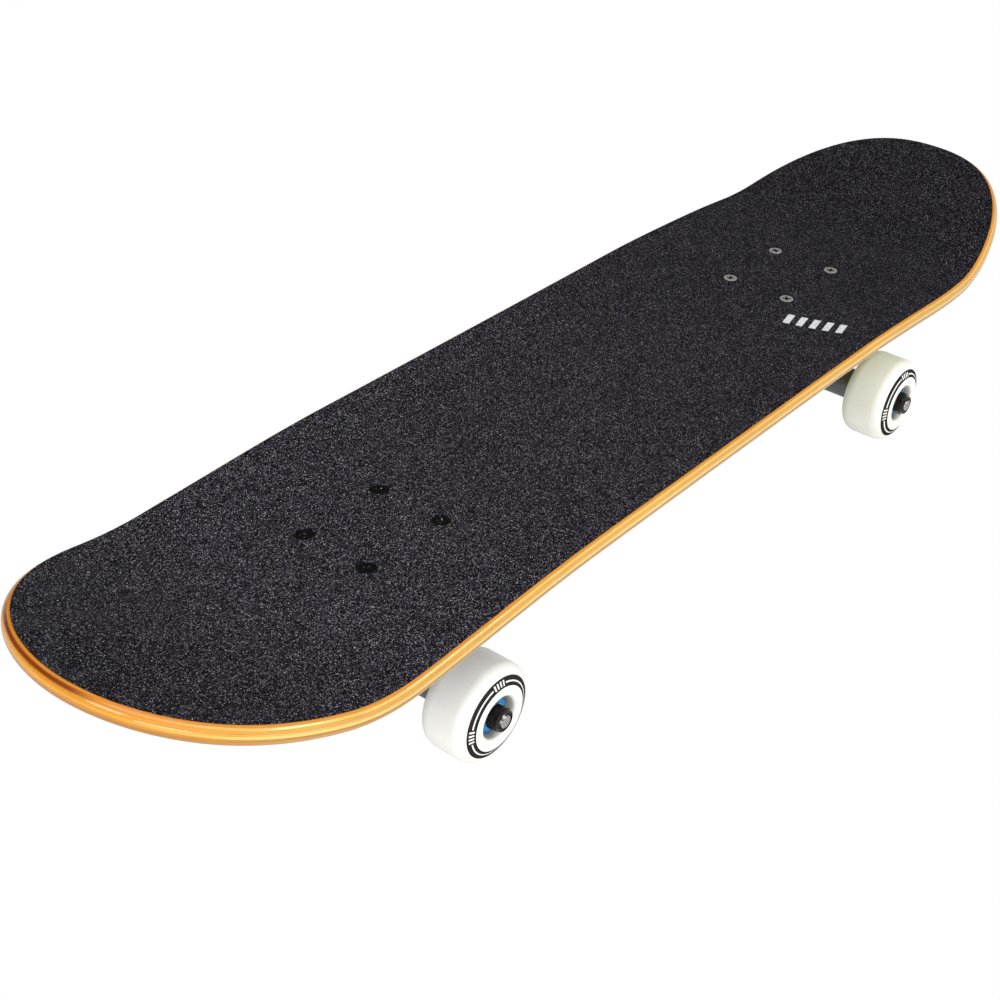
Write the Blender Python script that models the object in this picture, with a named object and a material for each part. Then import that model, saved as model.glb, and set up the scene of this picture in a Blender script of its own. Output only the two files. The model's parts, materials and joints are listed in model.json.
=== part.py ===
"""Skateboard: a seven-ply deck with grip tape, on two trucks with four wheels.

Metres, +Z up. +X points to the nose and +Y to the rider's left; the origin is on the floor under the
middle of the board's length. A truck is modelled once, in a frame of its own whose +X points outwards
to the board's tip, with its origin on the floor under the middle of its four mounting bolts, and an
empty places it at each end.
"""

import math

import bmesh
import bpy
from mathutils import Matrix, Vector

GAP = 0.0003  # between pieces that touch
MERGE = 1e-6

# Deck: the ends are superellipses, bent up along an arc. Lengths run along the bent surface.
HALF_WIDTH = 0.0942
FLARE = 0.013  # share of width gained FLARE_REACH from the middle
FLARE_REACH = 0.300
NOSE = {"length": 0.3955, "shoulder": 0.211, "along": 2.37, "across": 2.36,
        "bend_start": 0.2610, "bend_radius": 0.142, "kick": math.radians(14.5)}
TAIL = {"length": 0.3897, "shoulder": 0.234, "along": 3.32, "across": 1.93,
        "bend_start": 0.2605, "bend_radius": 0.168, "kick": math.radians(14.9)}
CONCAVE = 0.0064  # rise of the rails over the flat middle
CONCAVE_FLAT = 0.020  # half-width of the strip that stays flat
CONCAVE_FADE = (-0.130, 0.170)  # where the rise starts to fade, from the bend, and over what length
DECK_THICKNESS = 0.0095
GRIP_THICKNESS = 0.0007
RAIL_INSET = 0.0034  # how far the rounded rail takes in the top and bottom faces
END_COLUMNS = 14
MIDDLE_COLUMNS = 6
ROWS = (1.0, 0.62, 0.21, -0.21, -0.62, -1.0)

# Mounting pattern and the bolts through it
BOLT_PITCH_LONG = 0.05398
BOLT_PITCH_WIDE = 0.04128
INNER_BOLT_SPAN = 0.3280  # between the two trucks' inner bolts
BOLT_RADIUS = 0.0024
BOLT_HEAD_RADIUS = 0.0049
BOLT_HEAD_HEIGHT = 0.0026
BOLT_PROUD = 0.0001
BOLT_HOLE_RADIUS = 0.0028
BOLT_LENGTH = 0.0245
RECESS_ARM = 0.0027
RECESS_WIDTH = 0.0011
RECESS_DEPTH = 0.0018
BOLT_NUT_FLATS = 0.0080
BOLT_NUT_HEIGHT = 0.0050

# Wheels, bearings and what holds them on the axle. Stations are distances from the truck's middle.
WHEEL_RADIUS = 0.0270
WHEEL_INNER_FACE = 0.0620
WHEEL_OUTER_FACE = 0.0923
FACE_RADIUS = 0.0174  # of the flat outer face, inside the cone
CONE_SLOPE = 0.50  # how far the cone falls back for each metre outwards
SHOULDER_RADIUS = 0.0068  # of the arc from the cone to the tread
INNER_FACE_RADIUS = 0.0195
INNER_SHOULDER = 0.0080
RECESS_MOUTH_RADIUS = 0.0118
WHEEL_SIDES = 28
BEARING_SEAT_RADIUS = 0.01125
CORE_RADIUS = 0.0090
BEARING_RADIUS = 0.0110
BEARING_WIDTH = 0.0070
BEARING_BORE_RADIUS = 0.00425
INNER_BEARING_AT = 0.0632
OUTER_BEARING_AT = 0.0806
AXLE_RADIUS = 0.0039
AXLE_HALF_LENGTH = 0.0963
AXLE_NUT_FLATS = 0.0127
AXLE_NUT_AT = 0.0893
AXLE_NUT_HEX = 0.0044
AXLE_NUT_HEIGHT = 0.0064
AXLE_NUT_COLLAR_RADIUS = 0.0058
WASHER_AT = 0.0879
WASHER_RADIUS = 0.0066
WASHER_THICKNESS = 0.0011

# Truck: the axle, the pivot ball and the hanger's ring, as (outwards, up) in the truck's frame.
AXLE_OUTWARDS = 0.0107
AXLE_DROP = 0.0631  # from the top of the grip tape down to the axle
DECK_TOP = WHEEL_RADIUS + AXLE_DROP
AXLE = Vector((AXLE_OUTWARDS, 0, WHEEL_RADIUS))
PIVOT = Vector((0.0280, 0, 0.0655))
RING = Vector((-0.0110, 0, 0.0440))
KINGPIN_LEAN = math.radians(15)
KINGPIN_UP = Vector((math.sin(KINGPIN_LEAN), 0, math.cos(KINGPIN_LEAN)))
STEM_UP = (PIVOT - AXLE).normalized()
STEM_LENGTH = (PIVOT - AXLE).length
HANGER_HALF_WIDTH = 0.0616
BARREL_RADIUS = 0.0098
AXLE_HOLE_RADIUS = 0.0043
BALL_RADIUS = 0.0062
CUP_SEAT_RADIUS = 0.0067
CUP_RADIUS = 0.0090
CUP_MOUTH = -0.0050  # from the ball's centre, along the stem
CUP_BACK = 0.0088
RING_RADIUS = 0.0155
RING_HALF_THICKNESS = 0.0035
RING_HOLE_RADIUS = 0.0069
KINGPIN_RADIUS = 0.0047
KINGPIN_HOLE_RADIUS = 0.0052
KINGPIN_HEAD_FLATS = 0.0141
KINGPIN_HEAD = (0.0283, 0.0335)  # stations on the kingpin, from the ring's centre
KINGPIN_END = -0.0260
BUSHING_RADIUS = 0.0125
TOP_BUSHING = (0.0038, 0.0168)
BOTTOM_BUSHING = (-0.0138, -0.0038)
BOTTOM_BUSHING_TIP = 0.0098
TOP_WASHER = (0.0171, 0.0186)
BOTTOM_WASHER = (-0.0156, -0.0141)
KINGPIN_NUT = (-0.0244, -0.0159)
SEAT_STATION = 0.0189  # where the baseplate's boss ends
PLATE_HALF_LENGTH = 0.0410
PLATE_HALF_WIDTH = 0.0280
PLATE_THICKNESS = 0.0065
PLATE_CORNER = 0.0090
PLATE_TOP = DECK_TOP - GRIP_THICKNESS - GAP - DECK_THICKNESS - GAP
BOSS_RADIUS = 0.0140
CUP_BOSS_RADIUS = 0.0125

UP = Vector((0, 0, 1))
SIDEWAYS = Vector((0, 1, 0))


def clear_scene():
    for obj in list(bpy.data.objects):
        bpy.data.objects.remove(obj, do_unlink=True)


def make_material(name, colour, roughness, metallic):
    material = bpy.data.materials.new(name)
    material.use_nodes = True
    shader = material.node_tree.nodes["Principled BSDF"]
    shader.inputs["Base Color"].default_value = (*colour, 1)
    shader.inputs["Roughness"].default_value = roughness
    shader.inputs["Metallic"].default_value = metallic
    return material


def add_object(name, data, parent, location=(0, 0, 0), rotation=(0, 0, 0)):
    obj = bpy.data.objects.new(name, data)
    bpy.context.scene.collection.objects.link(obj)
    obj.parent = parent
    obj.location = location
    obj.rotation_euler = rotation
    return obj


def finish_mesh(bm, name, smooth=True):
    bmesh.ops.remove_doubles(bm, verts=bm.verts, dist=MERGE)
    bmesh.ops.dissolve_degenerate(bm, edges=bm.edges, dist=MERGE)
    bmesh.ops.recalc_face_normals(bm, faces=bm.faces)
    mesh = bpy.data.meshes.new(name)
    bm.to_mesh(mesh)
    bm.free()
    if smooth:
        mesh.shade_smooth()
        mesh.set_sharp_from_angle(angle=math.radians(35))
    return mesh


def aim(origin, direction):
    """The matrix that takes +Z to this direction and the origin to this point."""
    return Matrix.Translation(origin) @ direction.to_track_quat("Z", "Y").to_matrix().to_4x4()


def turn(profile, segments, place=None, closed=False):
    """A bmesh turned about +Z from (radius, height) points, then moved to its place."""
    bm = bmesh.new()
    points = [bm.verts.new((radius, 0, height)) for radius, height in profile]
    edges = [bm.edges.new(pair) for pair in zip(points, points[1:])]
    if closed:
        edges.append(bm.edges.new((points[-1], points[0])))
    bmesh.ops.spin(bm, geom=points + edges, cent=(0, 0, 0), axis=UP, angle=math.tau,
                   steps=segments, use_merge=True, use_duplicate=False)
    bmesh.ops.remove_doubles(bm, verts=bm.verts, dist=MERGE)
    bmesh.ops.recalc_face_normals(bm, faces=bm.faces)
    if place is not None:
        bmesh.ops.transform(bm, matrix=place, verts=bm.verts)
    return bm


def rod(radius, low, high, segments, place=None, chamfer=0.0):
    """A round bar along +Z, or a hexagonal one where it has six segments."""
    if chamfer:
        profile = [(0, low), (radius - chamfer, low), (radius, low + chamfer),
                   (radius, high - chamfer), (radius - chamfer, high), (0, high)]
    else:
        profile = [(0, low), (radius, low), (radius, high), (0, high)]
    return turn(profile, segments, place)


def tube(bore, radius, low, high, segments, place=None):
    profile = [(bore, low), (radius, low), (radius, high), (bore, high)]
    return turn(profile, segments, place, closed=True)


def hull(points):
    bm = bmesh.new()
    for point in points:
        bm.verts.new(point)
    result = bmesh.ops.convex_hull(bm, input=bm.verts)
    loose = {item for key in ("geom_interior", "geom_unused") for item in result[key]}
    spare = [item for item in loose if isinstance(item, bmesh.types.BMVert) and item.is_valid]
    bmesh.ops.delete(bm, geom=spare, context="VERTS")
    bmesh.ops.recalc_face_normals(bm, faces=bm.faces)
    return bm


def circle(centre, axis, radius, count):
    """Points round a circle, from its own track direction."""
    frame = aim(centre, axis)
    steps = [math.tau * step / count for step in range(count)]
    return [frame @ Vector((radius * math.cos(a), radius * math.sin(a), 0)) for a in steps]


def carve(name, body, joined=(), cut=()):
    """The mesh of one shape joined to others and then cut by others, each given as a bmesh."""
    base = add_object(name, finish_mesh(body, name), None)
    helpers = []
    for operation, shapes in (("UNION", joined), ("DIFFERENCE", cut)):
        for shape in shapes:
            helper = add_object("helper", finish_mesh(shape, "helper"), None)
            helper.hide_render = True
            helper.display_type = "WIRE"
            modifier = base.modifiers.new(operation.lower(), "BOOLEAN")
            modifier.operation = operation
            modifier.solver = "EXACT"
            modifier.object = helper
            helpers.append(helper)
    bpy.context.view_layer.update()
    graph = bpy.context.evaluated_depsgraph_get()
    mesh = bpy.data.meshes.new_from_object(base.evaluated_get(graph))
    for obj in (base, *helpers):
        bpy.data.objects.remove(obj, do_unlink=True)
    mesh.shade_smooth()
    mesh.set_sharp_from_angle(angle=math.radians(35))
    return mesh


# ---------------------------------------------------------------- deck and grip tape


def smooth_step(value):
    value = min(max(value, 0.0), 1.0)
    return value * value * (3 - 2 * value)


def deck_point(along, across, offset):
    """A point at this length along the bent deck and this far across it, offset off its top surface."""
    end = NOSE if along >= 0 else TAIL
    forward = math.copysign(1, along)
    length = abs(along)
    arc = end["bend_radius"] * end["kick"]
    turned = min(max(length - end["bend_start"], 0), arc) / end["bend_radius"]
    straight = max(length - end["bend_start"] - arc, 0)
    x = min(length, end["bend_start"]) + end["bend_radius"] * math.sin(turned) + straight * math.cos(turned)
    z = end["bend_radius"] * (1 - math.cos(turned)) + straight * math.sin(turned)
    fade = smooth_step((length - end["bend_start"] - CONCAVE_FADE[0]) / CONCAVE_FADE[1])
    share = max(abs(across) - CONCAVE_FLAT, 0) / (HALF_WIDTH - CONCAVE_FLAT)
    lift = CONCAVE * (1 - fade) * share ** 2 + offset
    return Vector((forward * (x - math.sin(turned) * lift), across, DECK_TOP + z + math.cos(turned) * lift))


def half_outline():
    """(along, across) from the tail's tip to the nose's tip, along the left edge."""
    points = []
    for end, forward in ((TAIL, -1), (NOSE, 1)):
        steps = [math.pi / 2 * step / END_COLUMNS for step in range(END_COLUMNS + 1)]
        reach = end["length"] - end["shoulder"]
        side = [(end["shoulder"] * step / MIDDLE_COLUMNS, HALF_WIDTH) for step in range(MIDDLE_COLUMNS)]
        side += [(end["shoulder"] + reach * math.sin(a) ** (2 / end["along"]),
                  HALF_WIDTH * max(math.cos(a), 0) ** (2 / end["across"])) for a in steps]
        side[-1] = (end["length"], 0.0)
        widths = [across * (1 + FLARE * (along / FLARE_REACH) ** 2) for along, across in side]
        side = [(forward * along, width) for (along, _), width in zip(side, widths)]
        points += side[::-1] if forward < 0 else side[1:]
    return points


def outline_normals(points):
    normals = [(-1.0, 0.0)]
    for before, after in zip(points, points[2:]):
        step = Vector((after[0] - before[0], after[1] - before[1])).normalized()
        normals.append((-step.y, step.x))
    return [*normals, (1.0, 0.0)]


def sheet(edge):
    """A closed sheet that follows the deck. edge is its rim, from top to bottom, as (inset, offset)."""
    bm = bmesh.new()
    points = half_outline()
    loops = []
    for (along, across), (normal_along, normal_across) in zip(points, outline_normals(points)):
        rim = [(along - normal_along * inset, across - normal_across * inset, offset)
               for inset, offset in edge]
        top, bottom = rim[0], rim[-1]
        loop = [(top[0], row * top[1], top[2]) for row in ROWS]
        loop += [(a, -c, offset) for a, c, offset in rim[1:-1]]
        loop += [(bottom[0], -row * bottom[1], bottom[2]) for row in ROWS]
        loop += rim[-2:0:-1]
        loops.append([bm.verts.new(deck_point(*point)) for point in loop])
    for first, second in zip(loops, loops[1:]):
        for index in range(len(first)):
            following = (index + 1) % len(first)
            a, b, c, d = first[index], first[following], second[following], second[index]
            # Every face is split from its left near corner, so that the two sheets bend alike.
            halves = ((a, b, c), (a, c, d)) if a.co.y >= b.co.y else ((a, b, d), (b, c, d))
            for corners in halves:
                bm.faces.new(corners)
    return bm


def bolt_places():
    """(name, truck frame's x and y) of the four bolts of one truck."""
    for end, x in (("inner", -BOLT_PITCH_LONG / 2), ("outer", BOLT_PITCH_LONG / 2)):
        for side, y in ((1, BOLT_PITCH_WIDE / 2), (-1, -BOLT_PITCH_WIDE / 2)):
            yield end, side, x, y


def bolt_cutters(truck_x, profile, segments):
    """One cutter for each bolt of the truck at truck_x, turned from this profile."""
    forward = math.copysign(1, truck_x)
    return [turn(profile, segments, Matrix.Translation((truck_x + forward * x, y, DECK_TOP)))
            for _, _, x, y in bolt_places()]


def rail_profile(top, thickness):
    """The rounded rail, as half an ellipse from the top face to the bottom face."""
    angles = [math.radians(90 - 45 * step) for step in range(5)]
    return [(RAIL_INSET * (1 - math.cos(a)), top - thickness / 2 * (1 - math.sin(a))) for a in angles]


def build_deck():
    top = -GRIP_THICKNESS - GAP
    hole = [(0, 0.0020), (0.0070, 0.0020), (BOLT_HOLE_RADIUS, -0.0034), (BOLT_HOLE_RADIUS, -0.0140), (0, -0.0140)]
    cutters = bolt_cutters(-TRUCK_X, hole, 12) + bolt_cutters(TRUCK_X, hole, 12)
    return carve("deck", sheet(rail_profile(top, DECK_THICKNESS)), cut=cutters)


def build_grip_tape():
    hole = [(0, 0.002), (BOLT_HEAD_RADIUS + GAP, 0.002), (BOLT_HEAD_RADIUS + GAP, -0.003), (0, -0.003)]
    cutters = bolt_cutters(-TRUCK_X, hole, 16) + bolt_cutters(TRUCK_X, hole, 16)
    rim = [(RAIL_INSET, 0), (RAIL_INSET, -GRIP_THICKNESS)]
    return carve("grip_tape", sheet(rim), cut=cutters)


# ---------------------------------------------------------------- fasteners


def hex_radius(across_flats):
    return across_flats / math.sqrt(3)


def hex_nut(across_flats, bore, hex_height, height, collar_radius, segments):
    """A lock nut along +Z: a hexagon with a round collar for its insert, and a round bore."""
    hexagon = rod(hex_radius(across_flats), 0, hex_height, 6)
    collar = rod(collar_radius, hex_height - 0.002, height, segments, chamfer=0.0005)
    drill = rod(bore, -0.002, height + 0.002, segments)
    return carve("nut", hexagon, joined=[collar], cut=[drill])


def build_mounting_bolt():
    """A countersunk bolt that hangs down from its origin, in the middle of its head's face."""
    cone = BOLT_HEAD_HEIGHT + BOLT_RADIUS / 4
    profile = [(0, 0), (BOLT_HEAD_RADIUS, 0), (BOLT_HEAD_RADIUS, -0.0004), (BOLT_RADIUS, -cone),
               (BOLT_RADIUS, -BOLT_LENGTH + 0.0006), (BOLT_RADIUS - 0.0006, -BOLT_LENGTH), (0, -BOLT_LENGTH)]
    arms = []
    for half_length, half_width in ((RECESS_ARM, RECESS_WIDTH / 2), (RECESS_WIDTH / 2, RECESS_ARM)):
        corners = [(sx * half_length, sy * half_width, z)
                   for sx in (-1, 1) for sy in (-1, 1) for z in (-RECESS_DEPTH, 0.002)]
        arms.append(hull(corners))
    return carve("mounting_bolt", turn(profile, 12), cut=arms)


def build_washer(radius, bore, thickness):
    return finish_mesh(tube(bore, radius, 0, thickness, 16), "washer")


# ---------------------------------------------------------------- wheels


def inner_shoulder(steps):
    """A quarter ellipse from the wheel's inner face out to its tread, as (radius, distance in from the face)."""
    angles = [math.pi / 2 * step / steps for step in range(steps + 1)]
    rise = WHEEL_RADIUS - INNER_FACE_RADIUS
    return [(INNER_FACE_RADIUS + rise * math.sin(a), INNER_SHOULDER * (1 - math.cos(a))) for a in angles]


def outer_shoulder(steps):
    """The wheel's outer side: its face's edge, then the end of the cone and the arc round to the tread."""
    start = math.atan(CONE_SLOPE)
    centre = WHEEL_RADIUS - SHOULDER_RADIUS
    cone_end = centre + SHOULDER_RADIUS * math.sin(start)
    fall = (cone_end - FACE_RADIUS) * CONE_SLOPE + SHOULDER_RADIUS * math.cos(start)
    angles = [start + (math.pi / 2 - start) * step / steps for step in range(steps + 1)]
    arc = [(centre + SHOULDER_RADIUS * math.sin(a), fall - SHOULDER_RADIUS * math.cos(a)) for a in angles]
    return [(FACE_RADIUS, 0), *arc]


def build_wheel():
    """A wheel along +Z: its inner face is at 0 and its outer face at its width."""
    width = WHEEL_OUTER_FACE - WHEEL_INNER_FACE
    inner_seat = INNER_BEARING_AT + BEARING_WIDTH + GAP - WHEEL_INNER_FACE
    outer_seat = OUTER_BEARING_AT - GAP - WHEEL_INNER_FACE
    mouth_depth = 0.0012
    profile = [(radius, width - inwards) for radius, inwards in outer_shoulder(2)]
    profile += inner_shoulder(2)[::-1]
    profile += [(BEARING_SEAT_RADIUS, 0), (BEARING_SEAT_RADIUS, inner_seat), (CORE_RADIUS, inner_seat),
                (CORE_RADIUS, outer_seat), (BEARING_SEAT_RADIUS, outer_seat),
                (BEARING_SEAT_RADIUS, width - mouth_depth), (RECESS_MOUTH_RADIUS, width)]
    # Each side's middle, not its corner, lies on the true radius, and one side faces straight down.
    half_side = math.pi / WHEEL_SIDES
    outset = 1 / math.cos(half_side)
    place = Matrix.Rotation(half_side, 4, "Z") @ Matrix.Diagonal((outset, outset, 1, 1))
    return finish_mesh(turn(profile, WHEEL_SIDES, place, closed=True), "wheel")


def build_bearing():
    """A ball bearing along +Z, with its shield set back from the outer face."""
    shield = BEARING_WIDTH - 0.0005
    profile = [(BEARING_BORE_RADIUS, 0), (BEARING_RADIUS, 0), (BEARING_RADIUS, BEARING_WIDTH),
               (0.0095, BEARING_WIDTH), (0.0090, shield), (0.0064, shield), (0.0060, BEARING_WIDTH),
               (BEARING_BORE_RADIUS, BEARING_WIDTH)]
    return finish_mesh(turn(profile, 16, closed=True), "bearing")


# ---------------------------------------------------------------- truck, in its own frame


def build_baseplate():
    inset = PLATE_CORNER
    corners = []
    for sx, sy in ((1, 1), (-1, 1), (-1, -1), (1, -1)):
        centre = Vector((sx * (PLATE_HALF_LENGTH - inset), sy * (PLATE_HALF_WIDTH - inset), 0))
        rim = circle(centre, UP, inset, 12)
        corners += [point for point in rim]
    low = PLATE_TOP - PLATE_THICKNESS
    chamfer = 0.0015
    slab = [(p.x, p.y, z) for p in corners for z in (low + chamfer, PLATE_TOP)]
    shrink = 1 - chamfer / PLATE_HALF_WIDTH
    slab += [(p.x * shrink, p.y * shrink, low) for p in corners]
    on_kingpin = aim(RING, KINGPIN_UP)
    on_stem = aim(PIVOT, STEM_UP)
    seat = turn([(0, SEAT_STATION), (BOSS_RADIUS - 0.001, SEAT_STATION), (BOSS_RADIUS, SEAT_STATION + 0.001),
                 (BOSS_RADIUS + 0.001, 0.0320), (0, 0.0320)], 20, on_kingpin)
    cup_boss = turn([(0, CUP_MOUTH + 0.0006), (CUP_BOSS_RADIUS - 0.001, CUP_MOUTH + 0.0006),
                     (CUP_BOSS_RADIUS, CUP_MOUTH + 0.0016), (CUP_BOSS_RADIUS, 0.0090), (0, 0.0090)], 20, on_stem)
    brace = hull(circle(RING + KINGPIN_UP * 0.0225, KINGPIN_UP, 0.0085, 8)
                 + circle(RING + KINGPIN_UP * 0.0320, KINGPIN_UP, 0.0085, 8)
                 + circle(PIVOT - STEM_UP * 0.0005, STEM_UP, 0.0085, 8)
                 + circle(PIVOT + STEM_UP * 0.0080, STEM_UP, 0.0085, 8))
    cuts = [rod(KINGPIN_HOLE_RADIUS, 0, 0.05, 16, on_kingpin),
            rod(hex_radius(KINGPIN_HEAD_FLATS) + 0.0006, KINGPIN_HEAD[0] - GAP, 0.05, 12, on_kingpin),
            rod(CUP_RADIUS + GAP, CUP_MOUTH - 0.02, CUP_BACK + GAP, 20, on_stem)]
    cuts += [rod(BOLT_HOLE_RADIUS, 0.05, 0.10, 12, Matrix.Translation((x, y, 0))) for _, _, x, y in bolt_places()]
    return carve("baseplate", hull(slab), joined=[seat, cup_boss, brace], cut=cuts)


def build_pivot_cup():
    angles = [math.pi / 2 * step / 3 for step in range(4)]
    bowl = [(CUP_SEAT_RADIUS * math.cos(a), CUP_SEAT_RADIUS * math.sin(a)) for a in angles]
    bowl[-1] = (0, CUP_SEAT_RADIUS)
    profile = [*bowl[::-1], (0.0077, CUP_MOUTH), (CUP_RADIUS, CUP_MOUTH), (CUP_RADIUS, CUP_BACK - 0.001),
               (CUP_RADIUS - 0.001, CUP_BACK), (0, CUP_BACK)]
    return finish_mesh(turn(profile, 16, aim(PIVOT, STEM_UP)), "pivot_cup")


def build_kingpin():
    on_kingpin = aim(RING, KINGPIN_UP)
    head = rod(hex_radius(KINGPIN_HEAD_FLATS), *KINGPIN_HEAD, 6, on_kingpin)
    shank = rod(KINGPIN_RADIUS, KINGPIN_END, KINGPIN_HEAD[1] - 0.001, 16, on_kingpin, chamfer=0.0006)
    return carve("kingpin", head, joined=[shank])


def build_top_bushing():
    low, high = TOP_BUSHING
    profile = [(KINGPIN_HOLE_RADIUS, low), (BUSHING_RADIUS - 0.0008, low), (BUSHING_RADIUS, low + 0.001),
               (BUSHING_RADIUS, high - 0.001), (BUSHING_RADIUS - 0.0008, high), (KINGPIN_HOLE_RADIUS, high)]
    return finish_mesh(turn(profile, 16, aim(RING, KINGPIN_UP), closed=True), "top_bushing")


def build_bottom_bushing():
    low, high = BOTTOM_BUSHING
    profile = [(KINGPIN_HOLE_RADIUS, low), (BOTTOM_BUSHING_TIP - 0.0008, low), (BOTTOM_BUSHING_TIP, low + 0.001),
               (BUSHING_RADIUS - 0.0005, high - 0.001), (BUSHING_RADIUS - 0.0013, high),
               (KINGPIN_HOLE_RADIUS, high)]
    return finish_mesh(turn(profile, 16, aim(RING, KINGPIN_UP), closed=True), "bottom_bushing")


def build_kingpin_washer(stations, radius):
    mesh = tube(KINGPIN_HOLE_RADIUS, radius, *stations, 16, aim(RING, KINGPIN_UP))
    return finish_mesh(mesh, "kingpin_washer")


def build_hanger():
    """The cast hanger: a barrel for the axle, a ring between the bushings and a stem to the pivot."""
    along_axle = aim(AXLE, SIDEWAYS)
    on_kingpin = aim(RING, KINGPIN_UP)
    half = HANGER_HALF_WIDTH
    barrel = turn([(0, -half), (BARREL_RADIUS - 0.0012, -half), (BARREL_RADIUS, -half + 0.0025),
                   (BARREL_RADIUS, half - 0.0025), (BARREL_RADIUS - 0.0012, half), (0, half)], 24, along_axle)
    ring = rod(RING_RADIUS, -RING_HALF_THICKNESS, RING_HALF_THICKNESS, 24, on_kingpin, chamfer=0.0008)
    ring_faces = [RING + KINGPIN_UP * t for t in (-RING_HALF_THICKNESS + 0.0006, RING_HALF_THICKNESS - 0.0006)]
    outwards = Vector((KINGPIN_UP.z, 0, -KINGPIN_UP.x))
    rim = [p for centre in ring_faces for p in circle(centre, KINGPIN_UP, RING_RADIUS - 0.0006, 20)
           if (p - RING).dot(outwards) > -0.001]
    core = [p for y in (-0.0165, 0.0165) for p in circle(AXLE + SIDEWAYS * y, SIDEWAYS, 0.0090, 14)]
    yoke = hull(rim + core)
    wings = []
    for side in (-1, 1):
        root = circle(Vector((0.0035, side * 0.0100, 0.0375)), SIDEWAYS, 0.0045, 10)
        foot = circle(AXLE + SIDEWAYS * side * 0.0120, SIDEWAYS, 0.0088, 12)
        tip = circle(AXLE + SIDEWAYS * side * 0.0520, SIDEWAYS, 0.0088, 12)
        wings.append(hull(root + foot + tip))
    tilts = [math.radians(-45 + 27 * step) for step in range(5)]
    ball = [(BALL_RADIUS * math.cos(a), STEM_LENGTH + BALL_RADIUS * math.sin(a)) for a in tilts]
    stem = turn([(0, 0), (0.0096, 0), (0.0092, 0.0120), (0.0068, 0.0270), (0.0052, STEM_LENGTH - 0.0068),
                 *ball, (0, STEM_LENGTH + BALL_RADIUS)], 16, aim(AXLE, STEM_UP))
    cuts = [rod(RING_HOLE_RADIUS, -0.02, 0.02, 20, on_kingpin),
            rod(BUSHING_RADIUS + 0.0008, RING_HALF_THICKNESS + 0.0001, 0.05, 20, on_kingpin),
            rod(BUSHING_RADIUS + 0.0008, -0.05, -RING_HALF_THICKNESS - 0.0001, 20, on_kingpin),
            rod(AXLE_HOLE_RADIUS, -0.10, 0.10, 16, along_axle)]
    return carve("hanger", barrel, joined=[ring, yoke, *wings, stem], cut=cuts)


def build_axle():
    return finish_mesh(rod(AXLE_RADIUS, -AXLE_HALF_LENGTH, AXLE_HALF_LENGTH, 16, chamfer=0.0008), "axle")


# ---------------------------------------------------------------- assembly

TRUCK_X = INNER_BOLT_SPAN / 2 + BOLT_PITCH_LONG / 2

MATERIALS = {
    "maple": ((0.62, 0.30, 0.085), 0.30, 0.0),
    "grit": ((0.022, 0.021, 0.023), 0.92, 0.0),
    "cast_metal": ((0.16, 0.155, 0.16), 0.42, 0.85),
    "urethane": ((0.82, 0.81, 0.78), 0.38, 0.0),
    "bushing_rubber": ((0.80, 0.78, 0.72), 0.45, 0.0),
    "pivot_plastic": ((0.03, 0.03, 0.03), 0.50, 0.0),
    "bearing_steel": ((0.55, 0.56, 0.58), 0.25, 1.0),
    "axle_steel": ((0.45, 0.44, 0.43), 0.35, 1.0),
    "black_steel": ((0.020, 0.020, 0.022), 0.30, 0.6),
    "grey_steel": ((0.40, 0.40, 0.39), 0.38, 0.9),
}


def side_name(y):
    return "left" if y > 0 else "right"


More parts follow.
